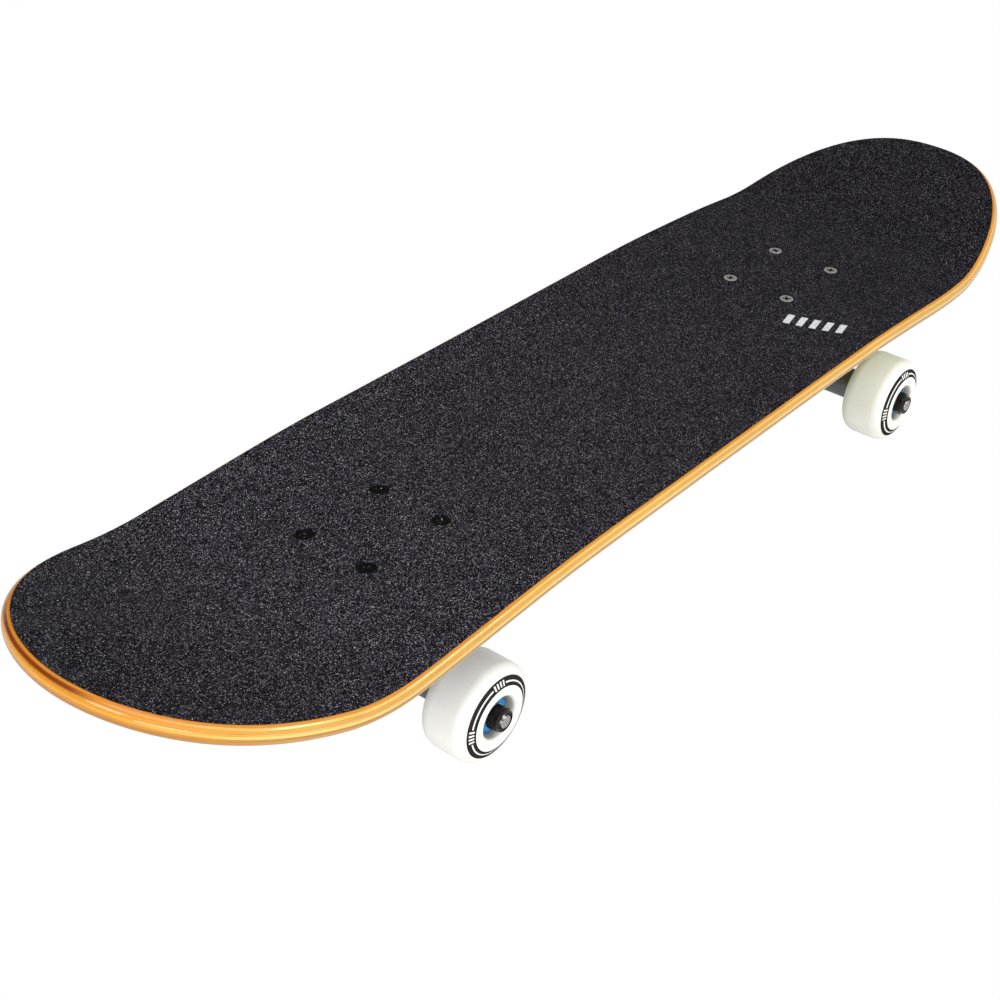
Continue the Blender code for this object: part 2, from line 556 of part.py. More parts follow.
def place_truck(end, board, location, turned, meshes, bolt_material, materials):
    """Puts one truck, its bolts and its wheels under an empty at the middle of its mounting bolts."""
    truck = add_object(end + "_truck", None, board, location, (0, 0, turned))
    facing = 1 if turned == 0 else -1

    def add(name, mesh, material, parent=truck, location=(0, 0, 0), rotation=(0, 0, 0)):
        obj = add_object(name, meshes[mesh].copy(), parent, location, rotation)
        obj.data.materials.clear()
        obj.data.materials.append(materials[material])
        return obj

    add(end + "_baseplate", "baseplate", "cast_metal")
    add(end + "_pivot_cup", "pivot_cup", "pivot_plastic")
    add(end + "_kingpin", "kingpin", "axle_steel")
    add(end + "_top_bushing", "top_bushing", "bushing_rubber")
    add(end + "_bottom_bushing", "bottom_bushing", "bushing_rubber")
    add(end + "_top_washer", "top_washer", "axle_steel")
    add(end + "_bottom_washer", "bottom_washer", "axle_steel")
    nut_place = aim(RING + KINGPIN_UP * KINGPIN_NUT[1], -KINGPIN_UP)
    add(end + "_kingpin_nut", "kingpin_nut", "axle_steel", truck, nut_place.translation, nut_place.to_euler())
    for row, side, x, y in bolt_places():
        label = f"{row}_{side_name(side * facing)}"
        add(f"{end}_bolt_{label}", "mounting_bolt", bolt_material, truck, (x, y, DECK_TOP + BOLT_PROUD))
        nut_top = PLATE_TOP - PLATE_THICKNESS - GAP
        add(f"{end}_nut_{label}", "bolt_nut", "black_steel", truck, (x, y, nut_top), (math.pi, 0, 0))

    steer = add_object(end + "_steer", None, truck, PIVOT)
    hanger = add(end + "_hanger", "hanger", "cast_metal", steer)
    hanger.data.transform(Matrix.Translation(-PIVOT))
    along_axle = (-math.pi / 2, 0, 0)
    add(end + "_axle", "axle", "axle_steel", steer, AXLE - PIVOT, along_axle)
    for side in (1, -1):
        label = side_name(side * facing)
        outwards = (-math.pi / 2 * side, 0, 0)

        def station(distance, side=side):
            return AXLE - PIVOT + SIDEWAYS * side * distance

        spin = add_object(f"{end}_{label}_spin", None, steer, station(WHEEL_INNER_FACE), outwards)
        add(f"{end}_wheel_{label}", "wheel", "urethane", spin)
        inner = INNER_BEARING_AT - WHEEL_INNER_FACE
        outer = OUTER_BEARING_AT - WHEEL_INNER_FACE
        add(f"{end}_bearing_inner_{label}", "bearing", "bearing_steel", spin,
            (0, 0, inner + BEARING_WIDTH), (math.pi, 0, 0))
        add(f"{end}_bearing_outer_{label}", "bearing", "bearing_steel", spin, (0, 0, outer))
        add(f"{end}_axle_washer_{label}", "axle_washer", "axle_steel", steer, station(WASHER_AT), outwards)
        add(f"{end}_axle_nut_{label}", "axle_nut", "black_steel", steer, station(AXLE_NUT_AT), outwards)


def main():
    clear_scene()
    materials = {name: make_material(name, *values) for name, values in MATERIALS.items()}
    meshes = {
        "baseplate": build_baseplate(),
        "pivot_cup": build_pivot_cup(),
        "kingpin": build_kingpin(),
        "top_bushing": build_top_bushing(),
        "bottom_bushing": build_bottom_bushing(),
        "top_washer": build_kingpin_washer(TOP_WASHER, BUSHING_RADIUS),
        "bottom_washer": build_kingpin_washer(BOTTOM_WASHER, BOTTOM_BUSHING_TIP + 0.001),
        "kingpin_nut": hex_nut(KINGPIN_HEAD_FLATS, KINGPIN_HOLE_RADIUS, 0.0062,
                               KINGPIN_NUT[1] - KINGPIN_NUT[0], 0.0066, 16),
        "hanger": build_hanger(),
        "axle": build_axle(),
        "mounting_bolt": build_mounting_bolt(),
        "bolt_nut": hex_nut(BOLT_NUT_FLATS, BOLT_HOLE_RADIUS, 0.0035, BOLT_NUT_HEIGHT, 0.0036, 10),
        "wheel": build_wheel(),
        "bearing": build_bearing(),
        "axle_washer": build_washer(WASHER_RADIUS, BEARING_BORE_RADIUS, WASHER_THICKNESS),
        "axle_nut": hex_nut(AXLE_NUT_FLATS, BEARING_BORE_RADIUS, AXLE_NUT_HEX, AXLE_NUT_HEIGHT,
                            AXLE_NUT_COLLAR_RADIUS, 16),
    }
    deck_mesh = build_deck()
    reach = [vertex.co.x for vertex in deck_mesh.vertices]
    middle = (min(reach) + max(reach)) / 2
    board = add_object("board", None, None, (-middle, 0, 0))
    deck = add_object("deck", deck_mesh, board)
    deck.data.materials.clear()
    deck.data.materials.append(materials["maple"])
    grip = add_object("grip_tape", build_grip_tape(), board)
    grip.data.materials.clear()
    grip.data.materials.append(materials["grit"])
    place_truck("front", board, (TRUCK_X, 0, 0), 0, meshes, "grey_steel", materials)
    place_truck("rear", board, (-TRUCK_X, 0, 0), math.pi, meshes, "black_steel", materials)


main()
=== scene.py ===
"""Skateboard: the looks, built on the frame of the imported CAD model.

Every CAD node is replaced by a finer piece of the same size in the same place. The deck and its grip
tape are built in the board's frame. Everything else is modelled once, in the frame of a truck, whose
+X points outwards to the board's tip and whose origin is on the floor under the middle of its four
mounting bolts, and an object places it at each end.
"""

import json
import math

import bmesh
import bpy
from mathutils import Matrix, Vector


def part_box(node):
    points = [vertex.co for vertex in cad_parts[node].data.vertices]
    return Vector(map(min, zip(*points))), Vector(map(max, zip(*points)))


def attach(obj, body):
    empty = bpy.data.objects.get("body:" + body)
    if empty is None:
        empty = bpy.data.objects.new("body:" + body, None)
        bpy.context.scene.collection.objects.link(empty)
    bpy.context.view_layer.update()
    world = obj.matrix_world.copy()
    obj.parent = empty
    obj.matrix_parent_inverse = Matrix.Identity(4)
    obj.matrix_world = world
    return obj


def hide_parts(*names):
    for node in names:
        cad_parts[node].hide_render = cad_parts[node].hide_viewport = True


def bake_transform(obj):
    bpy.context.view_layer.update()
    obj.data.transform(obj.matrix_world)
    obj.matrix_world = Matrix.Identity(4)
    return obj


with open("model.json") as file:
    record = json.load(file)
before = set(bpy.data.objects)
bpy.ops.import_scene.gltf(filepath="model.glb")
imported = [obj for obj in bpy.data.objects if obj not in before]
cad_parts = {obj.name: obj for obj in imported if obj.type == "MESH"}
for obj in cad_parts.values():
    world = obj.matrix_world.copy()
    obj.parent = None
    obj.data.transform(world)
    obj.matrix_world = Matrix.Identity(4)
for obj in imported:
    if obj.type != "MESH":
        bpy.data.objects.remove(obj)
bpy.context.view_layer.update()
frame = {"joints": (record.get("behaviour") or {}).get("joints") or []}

UP = Vector((0, 0, 1))
SIDEWAYS = Vector((0, 1, 0))
GAP = 0.0003  # between pieces that touch


def middle_of(node):
    low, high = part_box(node)
    return (low + high) / 2


def joint_place(name):
    return Vector(next(joint["pos_m"] for joint in frame["joints"] if joint["name"] == name))


# ---------------------------------------------------------------- sizes, in metres

# Deck: the ends are superellipses, bent up along an arc. Lengths run along the bent surface.
HALF_WIDTH = 0.0942
FLARE = 0.013
FLARE_REACH = 0.300
NOSE = {"length": 0.3955, "shoulder": 0.211, "along": 2.37, "across": 2.36,
        "bend_start": 0.2610, "bend_radius": 0.142, "kick": math.radians(14.5)}
TAIL = {"length": 0.3897, "shoulder": 0.234, "along": 3.32, "across": 1.93,
        "bend_start": 0.2605, "bend_radius": 0.168, "kick": math.radians(14.9)}
CONCAVE = 0.0064
CONCAVE_FLAT = 0.020
CONCAVE_FADE = (-0.130, 0.170)
DECK_THICKNESS = 0.0095
GRIP_THICKNESS = 0.0007
RAIL_INSET = 0.0034
END_COLUMNS = 64
MIDDLE_COLUMNS = 40
TIP_TRIM = 0.00025  # keeps the finer outline inside the CAD model's box
DECK_ROWS = 33
RAIL_STEPS = 18
HOLE_FACES = 3  # the material index of a bolt hole's faces
DECK_CUT = (0.0020, -0.0140)  # the top and foot of the cutter for a bolt hole
GRIP_CUT = (0.002, -0.003)
COUNTERSINK_RADIUS = 0.0084
COUNTERSINK_FOOT = -0.0034

# The truck's frame, read off the CAD model
TRUCK_X = (middle_of("front_bolt_inner_left").x + middle_of("front_bolt_outer_left").x) / 2
REAR_TRUCK_X = (middle_of("rear_bolt_inner_left").x + middle_of("rear_bolt_outer_left").x) / 2
BOARD_MIDDLE = (TRUCK_X + REAR_TRUCK_X) / 2
BOLT_LONG = abs(middle_of("front_bolt_outer_left").x - TRUCK_X)
BOLT_WIDE = middle_of("front_bolt_outer_left").y
BOLT_PLACES = [(x, y) for x in (-BOLT_LONG, BOLT_LONG) for y in (-BOLT_WIDE, BOLT_WIDE)]
AXLE = middle_of("front_axle") - Vector((TRUCK_X, 0, 0))
PIVOT = joint_place("front_steer") - Vector((TRUCK_X, 0, 0))
DECK_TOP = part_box("front_bolt_inner_left")[1].z - 0.0001
PLATE_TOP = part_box("front_baseplate")[1].z
KINGPIN_LEAN = math.radians(15)
KINGPIN_UP = Vector((math.sin(KINGPIN_LEAN), 0, math.cos(KINGPIN_LEAN)))
RING = Vector((-0.0110, 0, 0.0440))
STEM_UP = (PIVOT - AXLE).normalized()
STEM_LENGTH = (PIVOT - AXLE).length

# Mounting bolts
BOLT_RADIUS = 0.0024
BOLT_HEAD_RADIUS = 0.0049
BOLT_HEAD_HEIGHT = 0.0026
BOLT_HOLE_RADIUS = 0.0028
BOLT_LENGTH = 0.0245
BOLT_RISE = 0.0001  # of its head above the grip tape
BOLT_TURNS = {"inner_left": 0.35, "outer_left": 0.9, "inner_right": 0.6, "outer_right": 0.2}
RECESS_ARM = (0.0025, 0.00072)  # half an arm's length and width, at the head's face
RECESS_FOOT = 0.0015
RECESS_DEPTH = 0.0021
BOLT_NUT_FLATS = 0.0080
BOLT_NUT_HEIGHT = 0.0050
BOLT_NUT_HEX = 0.0035
BOLT_NUT_COLLAR_RADIUS = 0.0036
THREAD_DEPTH = 0.0003
THREAD_SINK = 0.00005  # how far a thread's root is sunk in the core

# Wheels, bearings and what holds them. Stations are distances from the truck's middle.
WHEEL_RADIUS = 0.0270
WHEEL_INNER_FACE = 0.0620
WHEEL_OUTER_FACE = 0.0923
WHEEL_WIDTH = WHEEL_OUTER_FACE - WHEEL_INNER_FACE
FACE_RADIUS = 0.0174
CONE_SLOPE = 0.44
MOUTH_RADIUS = 0.0122
SHOULDER_RADIUS = 0.0068
SHOULDER_STEPS = 18
INNER_FACE_RADIUS = 0.0195
INNER_SHOULDER = 0.0080
INNER_SHOULDER_STEPS = 16
WHEEL_SEGMENTS = 240
BEARING_SEAT_RADIUS = 0.01125
CORE_RADIUS = 0.0090
BEARING_RADIUS = 0.0110
BEARING_WIDTH = 0.0070
BEARING_BORE_RADIUS = 0.00425
INNER_RACE_RADIUS = 0.0060
OUTER_RACE_RADIUS = 0.0103
SPACER_RADIUS = 0.0055
INNER_BEARING_AT = 0.0632
OUTER_BEARING_AT = 0.0806
AXLE_RADIUS = 0.0039
AXLE_HALF_LENGTH = 0.0963
AXLE_THREAD_FROM = 0.0885
AXLE_NUT_FLATS = 0.0127
AXLE_NUT_AT = 0.0893
AXLE_NUT_HEX = 0.0044
AXLE_NUT_HEIGHT = 0.0064
AXLE_NUT_COLLAR_RADIUS = 0.0058
AXLE_NUT_TURN = 0.3
WASHER_AT = 0.0879
WASHER_RADIUS = 0.0066
WASHER_THICKNESS = 0.0011
INNER_WASHER_RADIUS = 0.0058
INNER_WASHER_THICKNESS = 0.0010
PRINT_RADII = (0.0177, 0.0194, 0.02015, 0.0224)  # inner band, light line, outer band
BREAK_ANGLES = (math.radians(90), math.radians(180))  # where four ticks break the light line
BREAK_HALF = math.radians(13.5)
TICKS = (-1.5, -0.5, 0.5, 1.5)
TICK_STEP = math.radians(6)
TICK_HALF = math.radians(1.6)
TICK_RADII = (0.0186, 0.0213)
# Painted shade: inside this radius the wheel takes a darker, warmer tint.
RECESS_SHADE_RADIUS = 0.0116

# Truck
HANGER_HALF_WIDTH = 0.0616
BARREL_RADIUS = 0.0098
AXLE_HOLE_RADIUS = 0.0043
BALL_RADIUS = 0.0062
CUP_SEAT_RADIUS = 0.0067
CUP_RADIUS = 0.0090
CUP_MOUTH = -0.0050
CUP_BACK = 0.0088
RING_RADIUS = 0.0155
RING_HALF_THICKNESS = 0.0035
RING_HOLE_RADIUS = 0.0069
KINGPIN_RADIUS = 0.0047
KINGPIN_HOLE_RADIUS = 0.0052
KINGPIN_HEAD_FLATS = 0.0141
KINGPIN_HEAD = (0.0283, 0.0335)
KINGPIN_END = -0.0260
KINGPIN_THREAD_TO = -0.0150
BUSHING_RADIUS = 0.0125
TOP_BUSHING = (0.0038, 0.0168)
BOTTOM_BUSHING = (-0.0138, -0.0038)
BOTTOM_BUSHING_TIP = 0.0098
TOP_WASHER = (0.0171, 0.0186)
BOTTOM_WASHER = (-0.0156, -0.0141)
KINGPIN_NUT = (-0.0244, -0.0159)
KINGPIN_NUT_HEX = 0.0062
KINGPIN_NUT_COLLAR_RADIUS = 0.0066
SEAT_STATION = 0.0189
PLATE_HALF_LENGTH = 0.0410
PLATE_HALF_WIDTH = 0.0280
PLATE_THICKNESS = 0.0065
PLATE_CORNER = 0.0090
BOSS_RADIUS = 0.0140
CUP_BOSS_RADIUS = 0.0125
BRACE_RADIUS = 0.0085
BRACE_ON_KINGPIN = (0.0225, 0.0320)
BRACE_ON_STEM = (-0.0005, 0.0080)
YOKE_HALF_WIDTH = 0.0165
YOKE_RADIUS = 0.0090
WING_ROOT = Vector((0.0035, 0.0100, 0.0375))
WING_ROOT_RADIUS = 0.0045
WING_STATIONS = (0.0120, 0.0520)
WING_RADIUS = 0.0088
CAST_VOXEL = 0.0007

# Camera and light
CAMERA_PLACE = Vector((-0.7118, -0.4778, 0.5810))
CAMERA_TURN = (math.radians(56.113), math.radians(-2.216), math.radians(-50.846))
CAMERA_LENS = 62.683  # millimetres
CAMERA_SENSOR = 36.0
LIGHTS = (  # name, place, what it faces, size and power in watts
    ("key", (0.53, -1.38, 1.42), (0, 0, 0.05), (0.9, 0.5), 15),
    ("overhead", (-0.55, -0.2, 1.5), (-0.1, 0, 0), (1.2, 1.0), 8),
    ("tail", (-1.55, 0.09, 0.67), (-0.3, 0, 0.1), (0.45, 0.35), 3.5),
    ("side", (-1.7, -0.75, 0.30), (-0.1, -0.1, 0.05), (0.9, 0.22), 6.5))
ROOM_LIGHT = 0.85
DIM_LIGHT = 0.10
DIM_SIDE = Vector((-0.15, 0.98, 0.05)).normalized()
DIM_SPREAD = (0.45, 0.85)  # the room starts to dim and is dimmest at these cosines off the dim side
MIRRORED_SHARE = 0.32  # how bright the room looks in reflections, against the light it gives
FLOOR_HALF = 9.0
FLOOR_COLOUR = 0.80
FLOOR_GLOW = 0.22
FLOOR_MIRRORED = 0.6  # how bright the floor looks in reflections

# Grip tape. A stop is a place on a ramp and a linear colour, or a shade of grey.
GRAIN_SIZE = 0.00041
GRIT_DEPTH = 0.00022
GRIT_STOPS = ((0.0, (0.0012, 0.0010, 0.0016)), (0.42, (0.0050, 0.0045, 0.0064)),
              (0.72, (0.0215, 0.0196, 0.0258)), (0.88, (0.078, 0.073, 0.090)),
              (0.97, (0.19, 0.182, 0.208)), (1.0, (0.42, 0.41, 0.43)))
GLINTS_FROM = 0.9966  # the share of grains that don't glint
GLINT_TINTS = ((0.55, 0.55, 0.56), (0.55, 0.44, 0.22))
DUST_TINT = (0.060, 0.058, 0.063)
DUST_REACH = (0.30, 0.37)  # from the board's middle
DUST_WEIGHT = 0.30
# Painted light: the grip tape is brightest near the rear truck and darker towards the nose, as the light
# falls off. It is also darker at the tail's tip.
PAINTED_LIGHT_LENGTH = 0.80
PAINTED_LIGHT_STOPS = ((0.02, 0.68), (0.18, 0.96), (0.5, 0.75), (0.75, 0.58), (0.9, 0.51))  # tail to nose
INK_STOPS = ((0.0, 0.34), (0.5, 0.56), (1.0, 0.74))
MARK_MIDDLE = Vector((0.1418, -0.0522))
MARK_TURN = math.radians(-78)
MARK_BAR_STEP = 0.0082
MARK_BAR_HALF = 0.0021
MARK_BAR_REACH = 0.0062
MARK_BARS_BESIDE = 2.0  # on each side of the middle one

# Deck: the plies' tints from top to bottom, seen along a side and at a tip
SIDE_TINTS = ((0.60, 0.255, 0.038), (0.72, 0.450, 0.105), (0.61, 0.330, 0.080), (0.65, 0.390, 0.105),
              (0.76, 0.560, 0.165), (0.46, 0.225, 0.046), (0.54, 0.280, 0.060))
TIP_TINTS = ((0.64, 0.240, 0.026), (0.62, 0.245, 0.024), (0.68, 0.290, 0.026), (0.66, 0.285, 0.028),
             (0.72, 0.350, 0.032), (0.60, 0.260, 0.028), (0.44, 0.185, 0.026))
PLY_EDGES = (0.0, 0.055, 0.17, 0.29, 0.38, 0.54, 0.66, 1.0)  # shares of the rounded edge's depth
PLY_WOBBLE = 0.030
GLUE_TINT = (0.38, 0.150, 0.026)
GLUE_HALF = 0.010
# Painted shade: a dark band on the rail's upper plies near the tail's tip, for the shade and dark
# reflection there.
PAINTED_SHADE_TINT = (0.20, 0.040, 0.003)
PAINTED_SHADE_START = (-0.030, -0.008)  # along the outline from the tail's tip
PAINTED_SHADE_STOP = (0.095, 0.050)
STRIPE_SLANT = 0.55
STRIPES = ((-0.030, -0.012), (-0.056, -0.047))
FIELD_FROM = 0.015
CHARCOAL_TINTS = ((0.055, 0.053, 0.050), (0.085, 0.082, 0.078))
LIME_TINTS = ((0.29, 0.30, 0.010), (0.35, 0.36, 0.016))


# ---------------------------------------------------------------- materials


def opaque(colour):
    """A colour input's value, from a colour or a shade of grey. A socket stays as it is."""
    if isinstance(colour, float):
        return (colour, colour, colour, 1)
    return (*colour, 1) if isinstance(colour, tuple) else colour


class Nodes:
    """Adds nodes to one tree. An input is linked where its value is a socket, and otherwise set."""

    def __init__(self, tree):
        self.tree = tree

    def give(self, inlet, value):
        if isinstance(value, bpy.types.NodeSocket):
            self.tree.links.new(value, inlet)
        else:
            inlet.default_value = value

    def add(self, kind, inputs, **settings):
        node = self.tree.nodes.new("ShaderNode" + kind)
        for name, value in settings.items():
            setattr(node, name, value)
        for key, value in inputs.items():
            self.give(node.inputs[key], value)
        return node

    def math(self, operation, first, second=0.0, third=0.0):
        return self.add("Math", {0: first, 1: second, 2: third}, operation=operation).outputs[0]

    def times(self, first, second):
        return self.math("MULTIPLY", first, second)

    def span(self, value, low, high, new_low=0.0, new_high=1.0):
        """The value's share of the way from low to high, smoothed and held at the ends."""
        values = {"Value": value, "From Min": low, "From Max": high, "To Min": new_low,
                  "To Max": new_high}
        return self.add("MapRange", values, interpolation_type="SMOOTHSTEP").outputs[0]

    def join(self, factor, first, second):
        """The first shader where the factor is 0, and the second where it is 1."""
        return self.add("MixShader", {0: factor, 1: first, 2: second}).outputs[0]


class Paint(Nodes):
    """A node material round one Principled shader, which is set from socket names and values."""

    def __init__(self, name, **sockets):
        self.material = bpy.data.materials.new(name)
        self.material.use_nodes = True
        super().__init__(self.material.node_tree)
        self.shader = self.tree.nodes["Principled BSDF"]
        self.set(**sockets)

    def set(self, **sockets):
        """Sets or links sockets of the shader. An underscore in a name stands for a space."""
        for name, value in sockets.items():
            self.give(self.shader.inputs[name.replace("_", " ")], value)

    def place(self, scale=(1, 1, 1)):
        """The piece's own coordinates, in metres, times a scale."""
        place = self.add("TexCoord", {}).outputs["Object"]
        return self.add("VectorMath", {0: place, 1: scale}, operation="MULTIPLY").outputs[0]

    def stored(self, name):
        return self.add("Attribute", {}, attribute_name=name).outputs["Fac"]

    def vector(self, x, y):
        return self.add("CombineXYZ", {0: x, 1: y}).outputs[0]

    def noise(self, vector, scale, detail=2.0, roughness=0.5):
        values = {"Vector": vector, "Scale": scale, "Detail": detail, "Roughness": roughness}
        return self.add("TexNoise", values).outputs["Fac"]

    def ramp(self, factor, stops):
        node = self.add("ValToRGB", {"Fac": factor})
        elements = node.color_ramp.elements
        while len(elements) < len(stops):
            elements.new(1.0)
        for element, (position, colour) in zip(elements, stops):
            element.position = position
            element.color = opaque(colour)
        return node.outputs["Color"]

    def mix(self, factor, first, second, blend="MIX"):
        values = {0: factor, 6: opaque(first), 7: opaque(second)}
        return self.add("Mix", values, data_type="RGBA", blend_type=blend).outputs[2]

    def shaded(self, colour, factor, stops):
        """The colour times a ramp."""
        return self.mix(1.0, colour, self.ramp(factor, stops), "MULTIPLY")

    def bump(self, height, distance, strength=1.0):
        values = {"Height": height, "Distance": distance, "Strength": strength}
        self.set(Normal=self.add("Bump", values).outputs["Normal"])


def grip_material():
    """Black grit: grains of random lightness, a few that glint, and faint dust on the kicks."""
    paint = Paint("grit", Roughness=0.70, Specular_IOR_Level=0.04)
    place = paint.place()
    grain = paint.add("TexVoronoi", {"Vector": place, "Scale": 1 / GRAIN_SIZE})
    pick = paint.add("SeparateColor", {0: grain.outputs["Color"]}).outputs
    glints = paint.ramp(pick[1], ((0.0, 0.0), (GLINTS_FROM, 0.0), (GLINTS_FROM + 0.0006, 1.0),
                                  (1.0, 1.0)))
    colour = paint.ramp(pick[0], GRIT_STOPS)
    colour = paint.mix(glints, colour, paint.mix(paint.span(pick[2], 0.6, 0.8), *GLINT_TINTS))
    along, across, _up = paint.add("SeparateXYZ", {0: place}).outputs
    kicks = paint.span(paint.math("ABSOLUTE", along), *DUST_REACH)
    dust = paint.times(kicks, paint.span(paint.noise(place, 22.0, 3.0), 0.52, 0.72))
    colour = paint.mix(paint.times(dust, DUST_WEIGHT), colour, DUST_TINT)
    colour = paint.shaded(colour, paint.noise(place, 9.0), ((0.3, 0.94), (0.7, 1.03)))
    # Painted light: brighter near the rear truck and darker towards the nose.
    colour = paint.shaded(colour, paint.math("MULTIPLY_ADD", along, 1 / PAINTED_LIGHT_LENGTH, 0.5), PAINTED_LIGHT_STOPS)
    ink = paint.ramp(pick[0], INK_STOPS)
    paint.set(Base_Color=paint.mix(printed_bars(paint, along, across), colour, ink))
    paint.bump(paint.math("SUBTRACT", 1.0, grain.outputs["Distance"]), GRIT_DEPTH, 0.55)
    return paint.material


def printed_bars(paint, along, across):
    """The mask of a row of plain upright bars, printed on the grip tape beside the front bolts."""
    row_x, row_y = math.cos(MARK_TURN), math.sin(MARK_TURN)
    x = paint.math("SUBTRACT", along, MARK_MIDDLE.x)
    y = paint.math("SUBTRACT", across, MARK_MIDDLE.y)
    down_row = paint.math("ADD", paint.times(x, row_x), paint.times(y, row_y))
    off_row = paint.math("SUBTRACT", paint.times(x, row_y), paint.times(y, row_x))
    nearest = paint.math("ROUND", paint.math("DIVIDE", down_row, MARK_BAR_STEP))
    nearest = paint.math("MAXIMUM", paint.math("MINIMUM", nearest, MARK_BARS_BESIDE), -MARK_BARS_BESIDE)
    off_bar = paint.math("SUBTRACT", down_row, paint.times(nearest, MARK_BAR_STEP))
    inside = paint.math("LESS_THAN", paint.math("ABSOLUTE", off_bar), MARK_BAR_HALF)
    return paint.times(inside, paint.math("LESS_THAN", paint.math("ABSOLUTE", off_row), MARK_BAR_REACH))


def ply_stops(tints):
    """Ramp stops for the plies from top to bottom, with a thin glue line between two plies."""
    stops = []
    for tint, low, high in zip(tints, PLY_EDGES, PLY_EDGES[1:]):
        stops += [(low + (GLUE_HALF if low > 0 else 0), tint)]
        if high < 1:
            stops += [(high - GLUE_HALF, tint), (high, GLUE_TINT)]
    return stops


def rail_material():
    """The deck's rounded edge: seven plies under amber varnish, more orange where it faces a tip."""
    paint = Paint("varnished_plies", Specular_IOR_Level=0.1, Coat_Weight=1.0, Coat_Roughness=0.13,
                  Coat_IOR=1.48)
    travel = paint.stored("travel")
    wobble = paint.math("SUBTRACT", paint.noise(paint.vector(travel, 0.0), 35.0), 0.5)
    depth = paint.times(paint.stored("depth"), 1 / DECK_THICKNESS)
    depth = paint.math("ADD", depth, paint.times(wobble, PLY_WOBBLE))
    facing_tip = paint.span(paint.stored("endwise"), 0.35, 1.0)
    plies = [paint.ramp(depth, ply_stops(tints)) for tints in (SIDE_TINTS, TIP_TINTS)]
    colour = paint.mix(facing_tip, *plies)
    # Painted shade and dark reflection: a dark band across the upper plies near the tail's tip.
    band = paint.ramp(depth, ((0.03, 0.0), (0.08, 1.0), (0.17, 1.0), (0.27, 0.0)))
    ends = paint.times(paint.span(travel, *PAINTED_SHADE_START), paint.span(travel, *PAINTED_SHADE_STOP))
    colour = paint.mix(paint.times(band, ends), colour, PAINTED_SHADE_TINT)
    lengthwise = paint.vector(paint.times(travel, 55.0), paint.times(depth, 38.0))
    fibres = paint.noise(lengthwise, 1.0, 4.0, 0.62)
    colour = paint.shaded(colour, fibres, ((0.25, (0.80, 0.74, 0.66)), (0.55, 1.0),
                                           (0.80, (1.06, 1.08, 1.12))))
    patches = paint.noise(paint.vector(travel, 0.7), 12.0)
    colour = paint.shaded(colour, patches, ((0.3, (0.95, 0.92, 0.88)), (0.7, 1.03)))
    paint.set(Base_Color=colour, Roughness=paint.span(fibres, 0.2, 0.8, 0.26, 0.40))
    paint.bump(fibres, 0.00006, 0.35)
    return paint.material


def underside_material():
    """Gloss paint: charcoal at the tail, yellow-green at the nose, parted by slanted stripes."""
    paint = Paint("underside_paint", Coat_Weight=0.6, Coat_Roughness=0.10)
    along, across, _up = paint.add("SeparateXYZ", {0: paint.place()}).outputs
    slid = paint.math("ADD", along, paint.times(across, STRIPE_SLANT))
    field = paint.math("GREATER_THAN", slid, FIELD_FROM)
    for low, high in STRIPES:
        stripe = paint.times(paint.math("GREATER_THAN", slid, low), paint.math("LESS_THAN", slid, high))
        field = paint.math("MAXIMUM", field, stripe)
    grain = paint.noise(paint.place((1.0, 26.0, 1.0)), 9.0, 5.0, 0.6)
    tints = [paint.ramp(grain, ((0.3, low), (0.7, high))) for low, high in (CHARCOAL_TINTS, LIME_TINTS)]
    paint.set(Base_Color=paint.mix(field, *tints), Roughness=paint.span(grain, 0.2, 0.8, 0.24, 0.34))
    paint.bump(grain, 0.00004, 0.4)
    return paint.material


def hidden_maple_material():
    """Bare maple, on the face under the grip tape."""
    paint = Paint("bare_maple", Roughness=0.6)
    grain = paint.noise(paint.place((1.0, 30.0, 1.0)), 12.0, 4.0, 0.6)
    paint.set(Base_Color=paint.ramp(grain, ((0.3, (0.42, 0.25, 0.11)), (0.7, (0.60, 0.40, 0.20)))))
    return paint.material


def urethane_material():
    """Off-white poured urethane, a little soft to the light, with faint mottling."""
    paint = Paint("urethane", Subsurface_Weight=0.15, Subsurface_Scale=0.003,
                  Subsurface_Radius=(1.0, 0.8, 0.6), Specular_IOR_Level=0.25)
    mottle = paint.noise(paint.place(), 60.0, 3.0)
    fine = paint.noise(paint.place(), 900.0)
    paint.set(Base_Color=paint.ramp(mottle, ((0.3, (0.80, 0.785, 0.74)), (0.7, (0.86, 0.85, 0.815)))),
              Roughness=paint.span(fine, 0.3, 0.7, 0.32, 0.42))
    paint.bump(fine, 0.00002, 0.3)
    return paint.material


def recess_shade_material():
    """Painted shade for the bearing recess: the urethane there, a little darker and warmer than the
    tread.
    """
    paint = Paint("wheel_recess_shade", Roughness=0.5, Specular_IOR_Level=0.2)
    mottle = paint.noise(paint.place(), 300.0)
    paint.set(Base_Color=paint.ramp(mottle, ((0.3, (0.60, 0.55, 0.44)), (0.7, (0.68, 0.63, 0.52)))))
    paint.bump(mottle, 0.00003, 0.3)
    return paint.material


def print_material():
    """Black ink on the urethane."""
    paint = Paint("black_print", Specular_IOR_Level=0.0)
    speck = paint.noise(paint.place(), 1400.0)
    paint.set(Base_Color=paint.ramp(speck, ((0.3, (0.018, 0.015, 0.014)),
                                            (0.75, (0.036, 0.031, 0.029)))),
              Roughness=paint.span(speck, 0.3, 0.7, 0.34, 0.48))
    return paint.material


